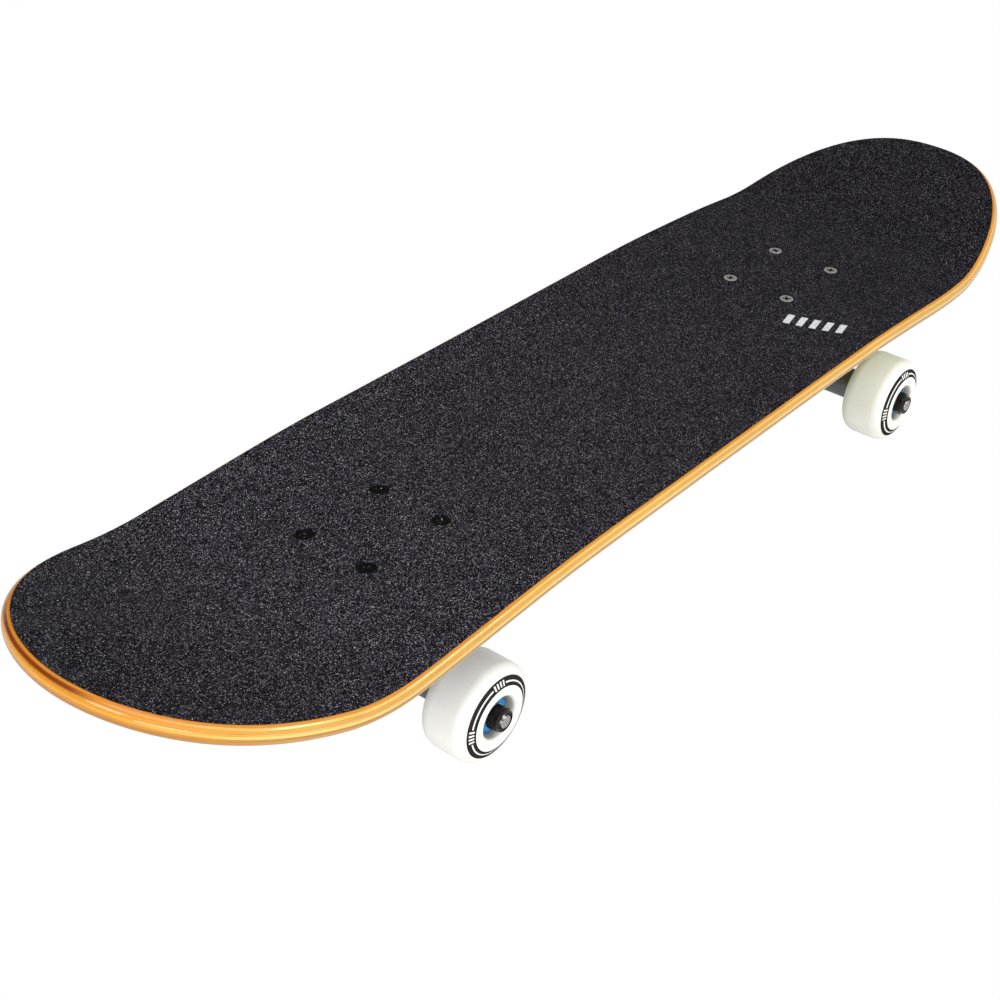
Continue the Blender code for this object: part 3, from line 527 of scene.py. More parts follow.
def painted_highlight_material():
    """A black recess with painted highlights: bright steel specks for the small highlights on its edges.
    """
    paint = Paint("recess_painted_highlights", Specular_IOR_Level=0.2)
    highlight_specks = paint.noise(paint.place(), 1300.0, 2.0, 0.6)
    stops = ((0.0, 0.003), (0.55, 0.004), (0.60, (0.45, 0.45, 0.44)), (1.0, (0.60, 0.60, 0.58)))
    paint.set(Base_Color=paint.ramp(highlight_specks, stops), Roughness=paint.span(highlight_specks, 0.5, 0.62, 0.40, 0.25),
              Metallic=paint.span(highlight_specks, 0.55, 0.62))
    paint.bump(highlight_specks, 0.00005, 0.4)
    return paint.material


def speckled_material(name, tints, roughness, noise, spread, bump, **sockets):
    """A material whose colour and roughness vary with a fine noise. spread is where both vary."""
    paint = Paint(name, **sockets)
    speck = paint.noise(paint.place(), *noise)
    paint.set(Base_Color=paint.ramp(speck, ((0.3, tints[0]), (0.7, tints[1]))),
              Roughness=paint.span(speck, *spread, *roughness))
    paint.bump(speck, *bump)
    return paint.material


def metal_material(name, tints, roughness, grain=700.0, bump=0.00002, **sockets):
    sockets = {"Metallic": 1.0, **sockets}
    return speckled_material(name, tints, roughness, (grain, 3.0, 0.6), (0.25, 0.75), (bump, 0.5),
                             **sockets)


def plastic_material(name, tints, roughness):
    return speckled_material(name, tints, roughness, (500.0,), (0.3, 0.7), (0.00002, 0.3))


def make_materials():
    return {
        "grip": grip_material(),
        "rail": rail_material(),
        "underside": underside_material(),
        "maple": hidden_maple_material(),
        "urethane": urethane_material(),
        "print": print_material(),
        # Painted shade: the darker, warmer tint inside the wheels' bearing recesses.
        "core": recess_shade_material(),
        # Painted highlights: bright specks in the rear bolts' recesses.
        "painted_highlights": painted_highlight_material(),
        "cast": metal_material("cast_metal", ((0.13, 0.13, 0.132), (0.20, 0.20, 0.203)), (0.34, 0.48),
                               1100.0, 0.00005, Metallic=0.85),
        "axle": metal_material("axle_steel", ((0.50, 0.48, 0.455), (0.72, 0.70, 0.665)), (0.20, 0.34)),
        "race": metal_material("bearing_steel", ((0.55, 0.56, 0.58), (0.70, 0.71, 0.73)), (0.16, 0.26)),
        # Painted reflection: the front bolts' heads are painted grey steel, standing in for the light
        # they reflect.
        "grey": metal_material("grey_steel", ((0.38, 0.38, 0.36), (0.54, 0.54, 0.51)), (0.30, 0.42),
                               Metallic=0.75),
        "black": metal_material("black_steel", (0.002, 0.005), (0.05, 0.09), bump=0.000003, Metallic=0.0,
                                Specular_IOR_Level=0.15, Coat_Weight=0.5, Coat_Roughness=0.03),
        "black_bolt": metal_material("black_bolt", (0.002, 0.005), (0.22, 0.32), Metallic=0.0,
                                     Specular_IOR_Level=0.04),
        "shield": plastic_material("blue_shield", ((0.008, 0.30, 0.72), (0.012, 0.38, 0.86)),
                                   (0.26, 0.36)),
        "recess": plastic_material("recess_shadow", (0.003, 0.006), (0.5, 0.6)),
        "bushing": plastic_material("bushing_urethane", ((0.72, 0.70, 0.62), (0.80, 0.78, 0.71)),
                                    (0.38, 0.48)),
        "cup": plastic_material("pivot_plastic", (0.018, 0.035), (0.42, 0.55)),
    }


# ---------------------------------------------------------------- mesh tools


def aim(origin, direction):
    """The matrix that takes +Z to this direction and the origin to this point."""
    return Matrix.Translation(origin) @ direction.to_track_quat("Z", "Y").to_matrix().to_4x4()


def softened(profile, steps=4, closed=False):
    """The profile with its corners rounded. A point is (radius, height) and maybe a rounding length."""
    points = [Vector(point[:2]) for point in profile]
    count = len(points)
    result = []
    for index, point in enumerate(points):
        reach = profile[index][2] if len(profile[index]) > 2 else 0
        ends = not closed and index in (0, count - 1)
        if not reach or ends:
            result.append(tuple(point))
            continue
        before, after = points[index - 1], points[(index + 1) % count]
        length = min(reach, (before - point).length * 0.48, (after - point).length * 0.48)
        start = point + (before - point).normalized() * length
        finish = point + (after - point).normalized() * length
        for step in range(steps + 1):
            t = step / steps
            result.append(tuple(start * (1 - t) ** 2 + point * 2 * t * (1 - t) + finish * t ** 2))
    return result


def polar(radius, angle, height=0.0):
    return Vector((radius * math.cos(angle), radius * math.sin(angle), height))


def turned(profile, segments=96, place=None, closed=False, steps=4, choose=None):
    """A bmesh turned about +Z from the softened profile. choose gives a face's material index."""
    points = softened(profile, steps, closed)
    bm = bmesh.new()
    rings = []
    for radius, height in points:
        if radius < 1e-7:
            rings.append([bm.verts.new((0, 0, height))] * segments)
            continue
        angles = (math.tau * step / segments for step in range(segments))
        rings.append([bm.verts.new(polar(radius, angle, height)) for angle in angles])
    pairs = list(zip(range(len(points)), range(1, len(points))))
    if closed:
        pairs.append((len(points) - 1, 0))
    for first, second in pairs:
        low, high = rings[first], rings[second]
        for step in range(segments):
            after = (step + 1) % segments
            corners = list(dict.fromkeys((low[step], low[after], high[after], high[step])))
            if len(corners) < 3:
                continue
            face = bm.faces.new(corners)
            if choose:
                radius = (points[first][0] + points[second][0]) / 2
                height = (points[first][1] + points[second][1]) / 2
                face.material_index = choose(radius, height, math.tau * (step + 0.5) / segments)
    bmesh.ops.recalc_face_normals(bm, faces=bm.faces)
    if place is not None:
        bmesh.ops.transform(bm, matrix=place, verts=bm.verts)
    return bm


def rod(radius, low, high, segments=64, place=None, edge=0.0003):
    profile = [(0, low), (radius, low, edge), (radius, high, edge), (0, high)]
    return turned(profile, segments, place, steps=3)


def hull(points):
    bm = bmesh.new()
    for point in points:
        bm.verts.new(point)
    result = bmesh.ops.convex_hull(bm, input=bm.verts)
    loose = {item for key in ("geom_interior", "geom_unused") for item in result[key]}
    spare = [item for item in loose if isinstance(item, bmesh.types.BMVert) and item.is_valid]
    bmesh.ops.delete(bm, geom=spare, context="VERTS")
    bmesh.ops.recalc_face_normals(bm, faces=bm.faces)
    return bm


def circle(centre, axis, radius, count):
    place = aim(centre, axis)
    return [place @ polar(radius, math.tau * step / count) for step in range(count)]


def joined(*shapes):
    """One bmesh that holds all of these, without welding them."""
    whole = bmesh.new()
    for shape in shapes:
        mesh = bpy.data.meshes.new("part")
        shape.to_mesh(mesh)
        shape.free()
        whole.from_mesh(mesh)
        bpy.data.meshes.remove(mesh)
    return whole


def as_mesh(shape, name):
    if isinstance(shape, bpy.types.Mesh):
        return shape
    mesh = bpy.data.meshes.new(name)
    shape.to_mesh(mesh)
    shape.free()
    return mesh


def solved(name, shape, *steps):
    """The mesh that these modifiers make of the shape. Each is a type and its settings, of which
    "shape" is the other shape of a Boolean.
    """
    scene = bpy.context.scene
    base = bpy.data.objects.new(name, as_mesh(shape, name))
    scene.collection.objects.link(base)
    helpers = [base]
    for kind, settings in steps:
        modifier = base.modifiers.new(kind, kind)
        for key, value in settings.items():
            if key == "shape":
                helper = bpy.data.objects.new("helper", as_mesh(value, "helper"))
                scene.collection.objects.link(helper)
                helpers.append(helper)
                modifier.solver = "EXACT"
                modifier.object = helper
            else:
                setattr(modifier, key, value)
    bpy.context.view_layer.update()
    graph = bpy.context.evaluated_depsgraph_get()
    result = base.evaluated_get(graph)
    mesh = bpy.data.meshes.new_from_object(result, preserve_all_data_layers=True, depsgraph=graph)
    for helper in helpers:
        bpy.data.objects.remove(helper, do_unlink=True)
    mesh.name = name
    return mesh


def union(shape):
    return "BOOLEAN", {"operation": "UNION", "shape": shape}


def cut(shape):
    return "BOOLEAN", {"operation": "DIFFERENCE", "shape": shape}


def common(shape):
    return "BOOLEAN", {"operation": "INTERSECT", "shape": shape}


def rounded_edges(width, segments=2, angle=35):
    return "BEVEL", {"width": width, "segments": segments, "limit_method": "ANGLE",
                     "angle_limit": math.radians(angle), "harden_normals": False}


def shade(mesh, angle=30):
    mesh.shade_smooth()
    mesh.set_sharp_from_angle(angle=math.radians(angle))
    return mesh


def thread(crest, root, pitch, low, high, segments=28):
    """A ridge wound about +Z from low to high, whose ends taper into the core."""
    bm = bmesh.new()
    count = max(int((high - low) / pitch * segments), 4)
    taper = segments * 0.6
    rows = []
    for step in range(count + 1):
        angle = math.tau * step / segments
        height = low + pitch * step / segments
        top = root + (crest - root) * min(1.0, step / taper, (count - step) / taper)
        section = ((root, -0.45), (top, -0.06), (top, 0.06), (root, 0.45))
        rows.append([bm.verts.new(polar(radius, angle, height + lift * pitch))
                     for radius, lift in section])
    for first, second in zip(rows, rows[1:]):
        for index in range(3):
            bm.faces.new((first[index], second[index], second[index + 1], first[index + 1]))
    return bm


def threaded(mesh, ridges):
    """The mesh, which is used up, with the ridges of its thread beside it."""
    whole = bmesh.new()
    whole.from_mesh(mesh)
    bpy.data.meshes.remove(mesh)
    return joined(whole, *ridges)


# ---------------------------------------------------------------- deck and grip tape


def smooth_step(value):
    value = min(max(value, 0.0), 1.0)
    return value * value * (3 - 2 * value)


def deck_point(along, across, offset):
    """A point at this length along the bent deck and this far across it, offset off its top surface."""
    end = NOSE if along >= 0 else TAIL
    forward = math.copysign(1, along)
    length = abs(along)
    arc = end["bend_radius"] * end["kick"]
    turn = min(max(length - end["bend_start"], 0), arc) / end["bend_radius"]
    straight = max(length - end["bend_start"] - arc, 0)
    x = min(length, end["bend_start"]) + end["bend_radius"] * math.sin(turn) + straight * math.cos(turn)
    z = end["bend_radius"] * (1 - math.cos(turn)) + straight * math.sin(turn)
    fade = smooth_step((length - end["bend_start"] - CONCAVE_FADE[0]) / CONCAVE_FADE[1])
    share = max(abs(across) - CONCAVE_FLAT, 0) / (HALF_WIDTH - CONCAVE_FLAT)
    lift = CONCAVE * (1 - fade) * share ** 2 + offset
    x = forward * (x - math.sin(turn) * lift) + BOARD_MIDDLE
    return Vector((x, across, DECK_TOP + z + math.cos(turn) * lift))


def half_outline():
    """(along, across) from the tail's tip to the nose's tip, along the left edge."""
    points = []
    for end, forward in ((TAIL, -1), (NOSE, 1)):
        steps = [math.pi / 2 * step / END_COLUMNS for step in range(END_COLUMNS + 1)]
        tip = end["length"] - TIP_TRIM
        reach = tip - end["shoulder"]
        side = [(end["shoulder"] * step / MIDDLE_COLUMNS, HALF_WIDTH) for step in range(MIDDLE_COLUMNS)]
        side += [(end["shoulder"] + reach * math.sin(a) ** (2 / end["along"]),
                  HALF_WIDTH * max(math.cos(a), 0) ** (2 / end["across"])) for a in steps]
        side[-1] = (tip, 0.0)
        widths = [across * (1 + FLARE * (along / FLARE_REACH) ** 2) for along, across in side]
        side = [(forward * along, width) for (along, _), width in zip(side, widths)]
        points += side[::-1] if forward < 0 else side[1:]
    return points


def outline_normals(points):
    normals = [(-1.0, 0.0)]
    for before, after in zip(points, points[2:]):
        step = Vector((after[0] - before[0], after[1] - before[1])).normalized()
        normals.append((-step.y, step.x))
    return [*normals, (1.0, 0.0)]


def sheet(name, edge, faces):
    """A closed sheet that follows the deck. edge is its rim, from top to bottom, as (inset, offset).

    faces are the material indices of its top, its rim and its underside. Three values are stored at
    every point: depth below the top face, travel along the outline, and endwise, how far the rim
    faces a tip rather than a side.
    """
    points = half_outline()
    rows = [1 - 2 * step / (DECK_ROWS - 1) for step in range(DECK_ROWS)]
    top_offset = edge[0][1]
    travel = 0.0
    previous = points[0]
    bm = bmesh.new()
    keys = ("depth", "travel", "endwise")
    depth_of, travel_of, endwise_of = (bm.verts.layers.float.new(key) for key in keys)
    loops = []
    for (along, across), (normal_along, normal_across) in zip(points, outline_normals(points)):
        travel += math.dist(previous, (along, across))
        previous = (along, across)
        rim = [(along - normal_along * inset, across - normal_across * inset, offset)
               for inset, offset in edge]
        top, bottom = rim[0], rim[-1]
        loop = [(top[0], row * top[1], top[2], 0) for row in rows]
        loop += [(a, -c, offset, -1) for a, c, offset in rim[1:-1]]
        loop += [(bottom[0], -row * bottom[1], bottom[2], 0) for row in rows]
        loop += [(a, c, offset, 1) for a, c, offset in rim[-2:0:-1]]
        line = []
        for a, c, offset, side in loop:
            vertex = bm.verts.new(deck_point(a, c, offset))
            vertex[depth_of] = top_offset - offset
            vertex[travel_of] = travel * (1 if c > 0 else -1)
            vertex[endwise_of] = abs(normal_along)
            line.append(vertex)
        loops.append(line)
    size = len(loops[0])
    rim_start, rim_end = DECK_ROWS - 1, DECK_ROWS - 1 + len(edge) - 1
    under_end = rim_end + DECK_ROWS - 1
    for first, second in zip(loops, loops[1:]):
        for index in range(size):
            after = (index + 1) % size
            face = bm.faces.new((first[index], first[after], second[after], second[index]))
            if index < rim_start:
                face.material_index = faces[0]
            elif rim_end <= index < under_end:
                face.material_index = faces[2]
            else:
                face.material_index = faces[1]
    bmesh.ops.remove_doubles(bm, verts=bm.verts, dist=1e-6)
    bmesh.ops.dissolve_degenerate(bm, edges=bm.edges, dist=1e-6)
    bmesh.ops.recalc_face_normals(bm, faces=bm.faces)
    return as_mesh(bm, name)


def bolt_cutters(profile):
    """One shape that holds a turned cutter at each mounting bolt of both trucks."""
    places = [Matrix.Translation((truck_x + x, y, DECK_TOP))
              for truck_x in (TRUCK_X, REAR_TRUCK_X) for x, y in BOLT_PLACES]
    return joined(*[turned(profile, 48, place, choose=lambda *_: HOLE_FACES) for place in places])


def build_deck():
    top, half = -GRIP_THICKNESS - GAP, DECK_THICKNESS / 2
    angles = [math.radians(90 - 180 * step / RAIL_STEPS) for step in range(RAIL_STEPS + 1)]
    rim = [(RAIL_INSET * (1 - math.cos(a)), top - half * (1 - math.sin(a))) for a in angles]
    high, low = DECK_CUT
    hole = [(0, high), (COUNTERSINK_RADIUS, high), (BOLT_HOLE_RADIUS, COUNTERSINK_FOOT),
            (BOLT_HOLE_RADIUS, low), (0, low)]
    mesh = solved("deck_wood", sheet("deck_wood", rim, (2, 0, 1)), cut(bolt_cutters(hole)))
    return shade(mesh, 40)


def build_grip_tape():
    bevel = 0.0001
    rim = [(RAIL_INSET + bevel, 0), (RAIL_INSET, -bevel), (RAIL_INSET, -GRIP_THICKNESS - 0.9 * GAP)]
    radius = BOLT_HEAD_RADIUS + GAP
    high, low = GRIP_CUT
    hole = [(0, high), (radius + bevel, high), (radius + bevel, 0), (radius, -bevel), (radius, low),
            (0, low)]
    mesh = solved("grip_sheet", sheet("grip_sheet", rim, (0, 0, 0)), cut(bolt_cutters(hole)))
    return shade(mesh, 40)


# ---------------------------------------------------------------- fasteners


def hex_radius(across_flats):
    return across_flats / math.sqrt(3)


def prism(across_flats, low, high):
    corners = [polar(hex_radius(across_flats), math.tau * k / 6) for k in range(6)]
    return hull([(corner.x, corner.y, z) for corner in corners for z in (low, high)])


def chamfer_disc(across_flats, low, high):
    """What a hexagon's corners are chamfered to: a disc with both rims coned back to the flats."""
    flats, corner = across_flats / 2, hex_radius(across_flats) + 0.0001
    inner = flats * 0.97
    fall = (corner - flats) * math.tan(math.radians(30))
    return turned([(0, low), (inner, low), (corner, low + fall), (corner, high - fall), (inner, high),
                   (0, high)], 96)


def hex_nut(name, across_flats, bore, hex_height, height, collar_radius):
    """A lock nut along +Z: a chamfered hexagon, and a round collar that is dished at its mouth."""
    foot, dish, margin = hex_height - 0.001, height - 0.0004, 0.002
    collar = turned([(0, foot), (collar_radius, foot), (collar_radius, height, 0.0011),
                     (bore + 0.0009, height, 0.0003), (bore + 0.0009, dish), (0, dish)], 72)
    drill = turned([(0, -margin), (bore + 0.0006, -margin), (bore + 0.0006, 0), (bore, 0.0006),
                    (bore, height + margin), (0, height + margin)], 72)
    chamfers = chamfer_disc(across_flats, 0, hex_height)
    mesh = solved(name, prism(across_flats, 0, hex_height), common(chamfers), union(collar), cut(drill),
                  rounded_edges(0.00022, 3))
    return shade(mesh)


def build_mounting_bolt():
    """A countersunk bolt that hangs down from its origin, in the middle of its head's face."""
    cone = BOLT_HEAD_HEIGHT + BOLT_RADIUS / 4
    core = BOLT_RADIUS - THREAD_DEPTH
    face = BOLT_HEAD_RADIUS - 0.0006
    profile = [(0, 0), (face, 0, 0.00025), (face + 0.0001, -0.0009, 0.0001),
               (BOLT_HEAD_RADIUS - 0.0002, -0.0010, 0.0001), (core, -cone, 0.0002),
               (core, -BOLT_LENGTH + 0.0005, 0.0002), (core - 0.0005, -BOLT_LENGTH), (0, -BOLT_LENGTH)]
    signs = [(sx, sy) for sx in (-1, 1) for sy in (-1, 1)]
    arms = []
    for x, y in (RECESS_ARM, RECESS_ARM[::-1]):
        foot_x, foot_y = min(x, RECESS_FOOT), min(y, RECESS_FOOT)
        top = [(sx * x, sy * y, 0.0002) for sx, sy in signs]
        arms.append(hull(top + [(sx * foot_x, sy * foot_y, -RECESS_DEPTH) for sx, sy in signs]))
    mesh = solved("mounting_bolt", turned(profile, 72), cut(arms[0]), cut(arms[1]))
    for polygon in mesh.polygons:
        radius, height = polygon.center.xy.length, polygon.center.z
        in_recess = radius < 0.0028 and -0.0023 < height < -0.00005
        on_ledge = height > -0.00099 and radius > face
        polygon.material_index = 1 if in_recess or on_ledge else 0
    ridge = thread(BOLT_RADIUS, core - THREAD_SINK, 0.0008, -BOLT_LENGTH + 0.0008, -0.0120)
    return shade(as_mesh(threaded(mesh, [ridge]), "mounting_bolt"))


def build_washer(radius, bore, thickness):
    soft = 0.0002
    profile = [(bore, 0, soft), (radius, 0, soft), (radius, thickness, soft), (bore, thickness, soft)]
    return shade(as_mesh(turned(profile, 72, closed=True, steps=2), "washer"))


# ---------------------------------------------------------------- wheels


def ring_print(radius, height, angle):
    """A wheel face's material: 0 urethane, 1 ink and 2 painted shade in the bearing recess. The ink
    is two bands that leave a light line between them, which breaks for plain ticks.
    """
    inner, line_in, line_out, outer = PRINT_RADII
    # Painted shade inside the bearing recess.
    if radius < RECESS_SHADE_RADIUS:
        return 2
    if height < WHEEL_WIDTH * 0.8 or not inner < radius < outer:
        return 0
    for middle in BREAK_ANGLES:
        off = (angle - middle + math.pi) % math.tau - math.pi
        if abs(off) < BREAK_HALF:
            on_tick = any(abs(off - TICK_STEP * tick) < TICK_HALF for tick in TICKS)
            return 0 if on_tick and TICK_RADII[0] < radius < TICK_RADII[1] else 1
    return 0 if line_in < radius < line_out else 1


def cone_fall(radius):
    """How far the cone has fallen back from the outer face at this radius."""
    return (radius - FACE_RADIUS) * CONE_SLOPE


def build_wheel():
    """A wheel along +Z: its inner face is at 0 and its outer face at its width."""
    inner_seat = INNER_BEARING_AT + BEARING_WIDTH + GAP - WHEEL_INNER_FACE
    outer_seat = OUTER_BEARING_AT - GAP - WHEEL_INNER_FACE
    start = math.atan(CONE_SLOPE)
    centre = WHEEL_RADIUS - SHOULDER_RADIUS
    cone_end = centre + SHOULDER_RADIUS * math.sin(start)
    width = WHEEL_WIDTH
    shoulder = width - (cone_fall(cone_end) + SHOULDER_RADIUS * math.cos(start))
    profile = [(MOUTH_RADIUS, width, 0.0012), (FACE_RADIUS, width, 0.0006)]
    profile += [(radius, width - cone_fall(radius)) for radius in sorted({*PRINT_RADII, *TICK_RADII})]
    for step in range(SHOULDER_STEPS + 1):
        a = start + (math.pi / 2 - start) * step / SHOULDER_STEPS
        profile.append((centre + SHOULDER_RADIUS * math.sin(a),
                        shoulder + SHOULDER_RADIUS * math.cos(a)))
    rise = WHEEL_RADIUS - INNER_FACE_RADIUS
    for step in range(INNER_SHOULDER_STEPS, -1, -1):
        a = math.pi / 2 * step / INNER_SHOULDER_STEPS
        profile.append((INNER_FACE_RADIUS + rise * math.sin(a), INNER_SHOULDER * (1 - math.cos(a))))
    profile += [(0.0128, 0.0004, 0.0006), (BEARING_SEAT_RADIUS, 0.0012, 0.0004),
                (BEARING_SEAT_RADIUS, inner_seat), (CORE_RADIUS, inner_seat, 0.0003),
                (CORE_RADIUS, outer_seat, 0.0003), (BEARING_SEAT_RADIUS, outer_seat),
                (BEARING_SEAT_RADIUS, width - 0.0024, 0.0012)]
    return shade(as_mesh(turned(profile, WHEEL_SEGMENTS, closed=True, choose=ring_print), "wheel"), 35)


def bearing_part(radius, height, _angle):
    """1 for the shield, and 0 for the two races."""
    between_races = INNER_RACE_RADIUS + 0.0001 < radius < OUTER_RACE_RADIUS - 0.0001
    return 1 if between_races and height > BEARING_WIDTH * 0.8 else 0


def build_bearing():
    """A ball bearing along +Z: two races with a shield pressed between them."""
    face, groove = BEARING_WIDTH, BEARING_WIDTH - 0.0009
    shield, dish = BEARING_WIDTH - 0.0004, BEARING_WIDTH - 0.0006
    bore, inner, outer = BEARING_BORE_RADIUS, INNER_RACE_RADIUS, OUTER_RACE_RADIUS
    back, recess = 0.0096, 0.0006
    soft, fine = 0.0002, 0.0001
    profile = [(bore, 0, 0.0004), (inner, 0, soft), (inner, recess), (back, recess), (back, 0, soft),
               (BEARING_RADIUS, 0, 0.0005), (BEARING_RADIUS, face, 0.0005), (outer, face, soft),
               (outer, groove, fine), (0.0101, shield, soft), (0.0088, shield, soft),
               (0.0083, dish, soft), (0.0068, dish, soft), (0.0065, shield, soft),
               (0.0062, shield, fine), (inner, groove, fine), (inner, face, soft), (bore, face, 0.0004)]
    return shade(as_mesh(turned(profile, 96, closed=True, steps=3, choose=bearing_part), "bearing"))


def build_spacer():
    """The sleeve between a wheel's two bearings, from the inner one's face."""
    length = OUTER_BEARING_AT - INNER_BEARING_AT - BEARING_WIDTH - 2 * GAP
    profile = [(BEARING_BORE_RADIUS, 0, 0.0002), (SPACER_RADIUS, 0, 0.0003),
               (SPACER_RADIUS, length, 0.0003), (BEARING_BORE_RADIUS, length, 0.0002)]
    return shade(as_mesh(turned(profile, 64, closed=True, steps=2), "bearing_spacer"))


# ---------------------------------------------------------------- truck, in its own frame


def cast(name, shape, joins, cuts):
    """A casting: shapes joined, their creases softened into fillets, and then machined by the cuts."""
    soft = solved(name, shape, *[union(other) for other in joins],
                  ("REMESH", {"mode": "VOXEL", "voxel_size": CAST_VOXEL}),
                  ("SMOOTH", {"factor": 0.5, "iterations": 6}))
    return shade(solved(name, soft, *[cut(other) for other in cuts]), 40)


def build_baseplate():
    inset = PLATE_CORNER
    corners = []
    for x, y in ((1, 1), (-1, 1), (-1, -1), (1, -1)):
        place = Vector((x * (PLATE_HALF_LENGTH - inset), y * (PLATE_HALF_WIDTH - inset), 0))
        corners += circle(place, UP, inset, 32)
    low = PLATE_TOP - PLATE_THICKNESS
    chamfer = 0.0015
    slab = [(p.x, p.y, z) for p in corners for z in (low + chamfer, PLATE_TOP)]
    shrink = 1 - chamfer / PLATE_HALF_WIDTH
    slab += [(p.x * shrink, p.y * shrink, low) for p in corners]
    on_kingpin = aim(RING, KINGPIN_UP)
    on_stem = aim(PIVOT, STEM_UP)
    seat = turned([(0, SEAT_STATION), (BOSS_RADIUS, SEAT_STATION, 0.001), (BOSS_RADIUS + 0.001, 0.0320),
                   (0, 0.0320)], 64, on_kingpin)
    mouth = CUP_MOUTH + 0.0006
    cup_boss = turned([(0, mouth), (CUP_BOSS_RADIUS, mouth, 0.001), (CUP_BOSS_RADIUS, 0.0090),
                       (0, 0.0090)], 64, on_stem)
    ends = [(RING + KINGPIN_UP * station, KINGPIN_UP) for station in BRACE_ON_KINGPIN]
    ends += [(PIVOT + STEM_UP * station, STEM_UP) for station in BRACE_ON_STEM]
    brace = hull([p for centre, axis in ends for p in circle(centre, axis, BRACE_RADIUS, 24)])
    heights = (PLATE_TOP, PLATE_TOP + 0.03)
    above = hull([(x, y, z) for x in (-0.06, 0.06) for y in (-0.04, 0.04) for z in heights])
    cuts = [above,
            rod(KINGPIN_HOLE_RADIUS, 0, 0.05, 64, on_kingpin),
            rod(hex_radius(KINGPIN_HEAD_FLATS) + 0.0006, KINGPIN_HEAD[0] - GAP, 0.05, 64, on_kingpin),
            rod(CUP_RADIUS + GAP, CUP_MOUTH - 0.02, CUP_BACK + GAP, 64, on_stem)]
    cuts += [rod(BOLT_HOLE_RADIUS, 0.05, 0.10, 48, Matrix.Translation((x, y, 0)))
             for x, y in BOLT_PLACES]
    return cast("baseplate", hull(slab), [seat, cup_boss, brace], cuts)


def build_pivot_cup():
    bowl = [(CUP_SEAT_RADIUS * math.cos(a), CUP_SEAT_RADIUS * math.sin(a))
            for a in (math.pi / 2 * step / 12 for step in range(13))]
    bowl[-1] = (0, CUP_SEAT_RADIUS)
    profile = [*bowl[::-1], (0.0077, CUP_MOUTH, 0.0003), (CUP_RADIUS, CUP_MOUTH, 0.0004),
               (CUP_RADIUS, CUP_BACK, 0.001), (0, CUP_BACK)]
    return shade(as_mesh(turned(profile, 64, aim(PIVOT, STEM_UP)), "pivot_cup"))


def build_kingpin():
    """The kingpin with its hexagonal head, on its own axis from the ring's centre."""
    core = KINGPIN_RADIUS - THREAD_DEPTH
    top = KINGPIN_HEAD[1] - 0.001
    shank = turned([(0, KINGPIN_END), (core, KINGPIN_END, 0.0009), (core, KINGPIN_THREAD_TO),
                    (KINGPIN_RADIUS, -0.0145), (KINGPIN_RADIUS, top), (0, top)], 64)
    chamfers = chamfer_disc(KINGPIN_HEAD_FLATS, *KINGPIN_HEAD)
    mesh = solved("kingpin", prism(KINGPIN_HEAD_FLATS, *KINGPIN_HEAD), common(chamfers), union(shank))
    pitch = 0.0012
    ridge = thread(KINGPIN_RADIUS, core - THREAD_SINK, pitch, KINGPIN_END + pitch, KINGPIN_THREAD_TO, 36)
    bm = threaded(mesh, [ridge])
    bmesh.ops.transform(bm, matrix=aim(RING, KINGPIN_UP), verts=bm.verts)
    return shade(as_mesh(bm, "kingpin"))


def build_bushing(name, stations, low_radius, high_radius):
    low, high = stations
    waist = (low + high) / 2
    profile = [(KINGPIN_HOLE_RADIUS, low, 0.0004), (low_radius, low, 0.0009),
               ((low_radius + high_radius) / 2 - 0.0001, waist, 0.002), (high_radius, high, 0.0009),
               (KINGPIN_HOLE_RADIUS, high, 0.0004)]
    return shade(as_mesh(turned(profile, 72, aim(RING, KINGPIN_UP), closed=True), name))


def build_kingpin_washer(name, stations, radius, facing):
    """A cupped washer, whose rim turns up where facing is 1 and down where it is -1."""
    low, high = stations if facing > 0 else stations[::-1]
    inner = (low + high) / 2
    soft = 0.0003
    profile = [(KINGPIN_HOLE_RADIUS, low, soft), (radius, low, 0.0008), (radius, high, soft),
               (radius - 0.0008, high, soft), (radius - 0.0012, inner, soft),
               (KINGPIN_HOLE_RADIUS, inner, soft)]
    return shade(as_mesh(turned(profile, 72, aim(RING, KINGPIN_UP), closed=True, steps=3), name))


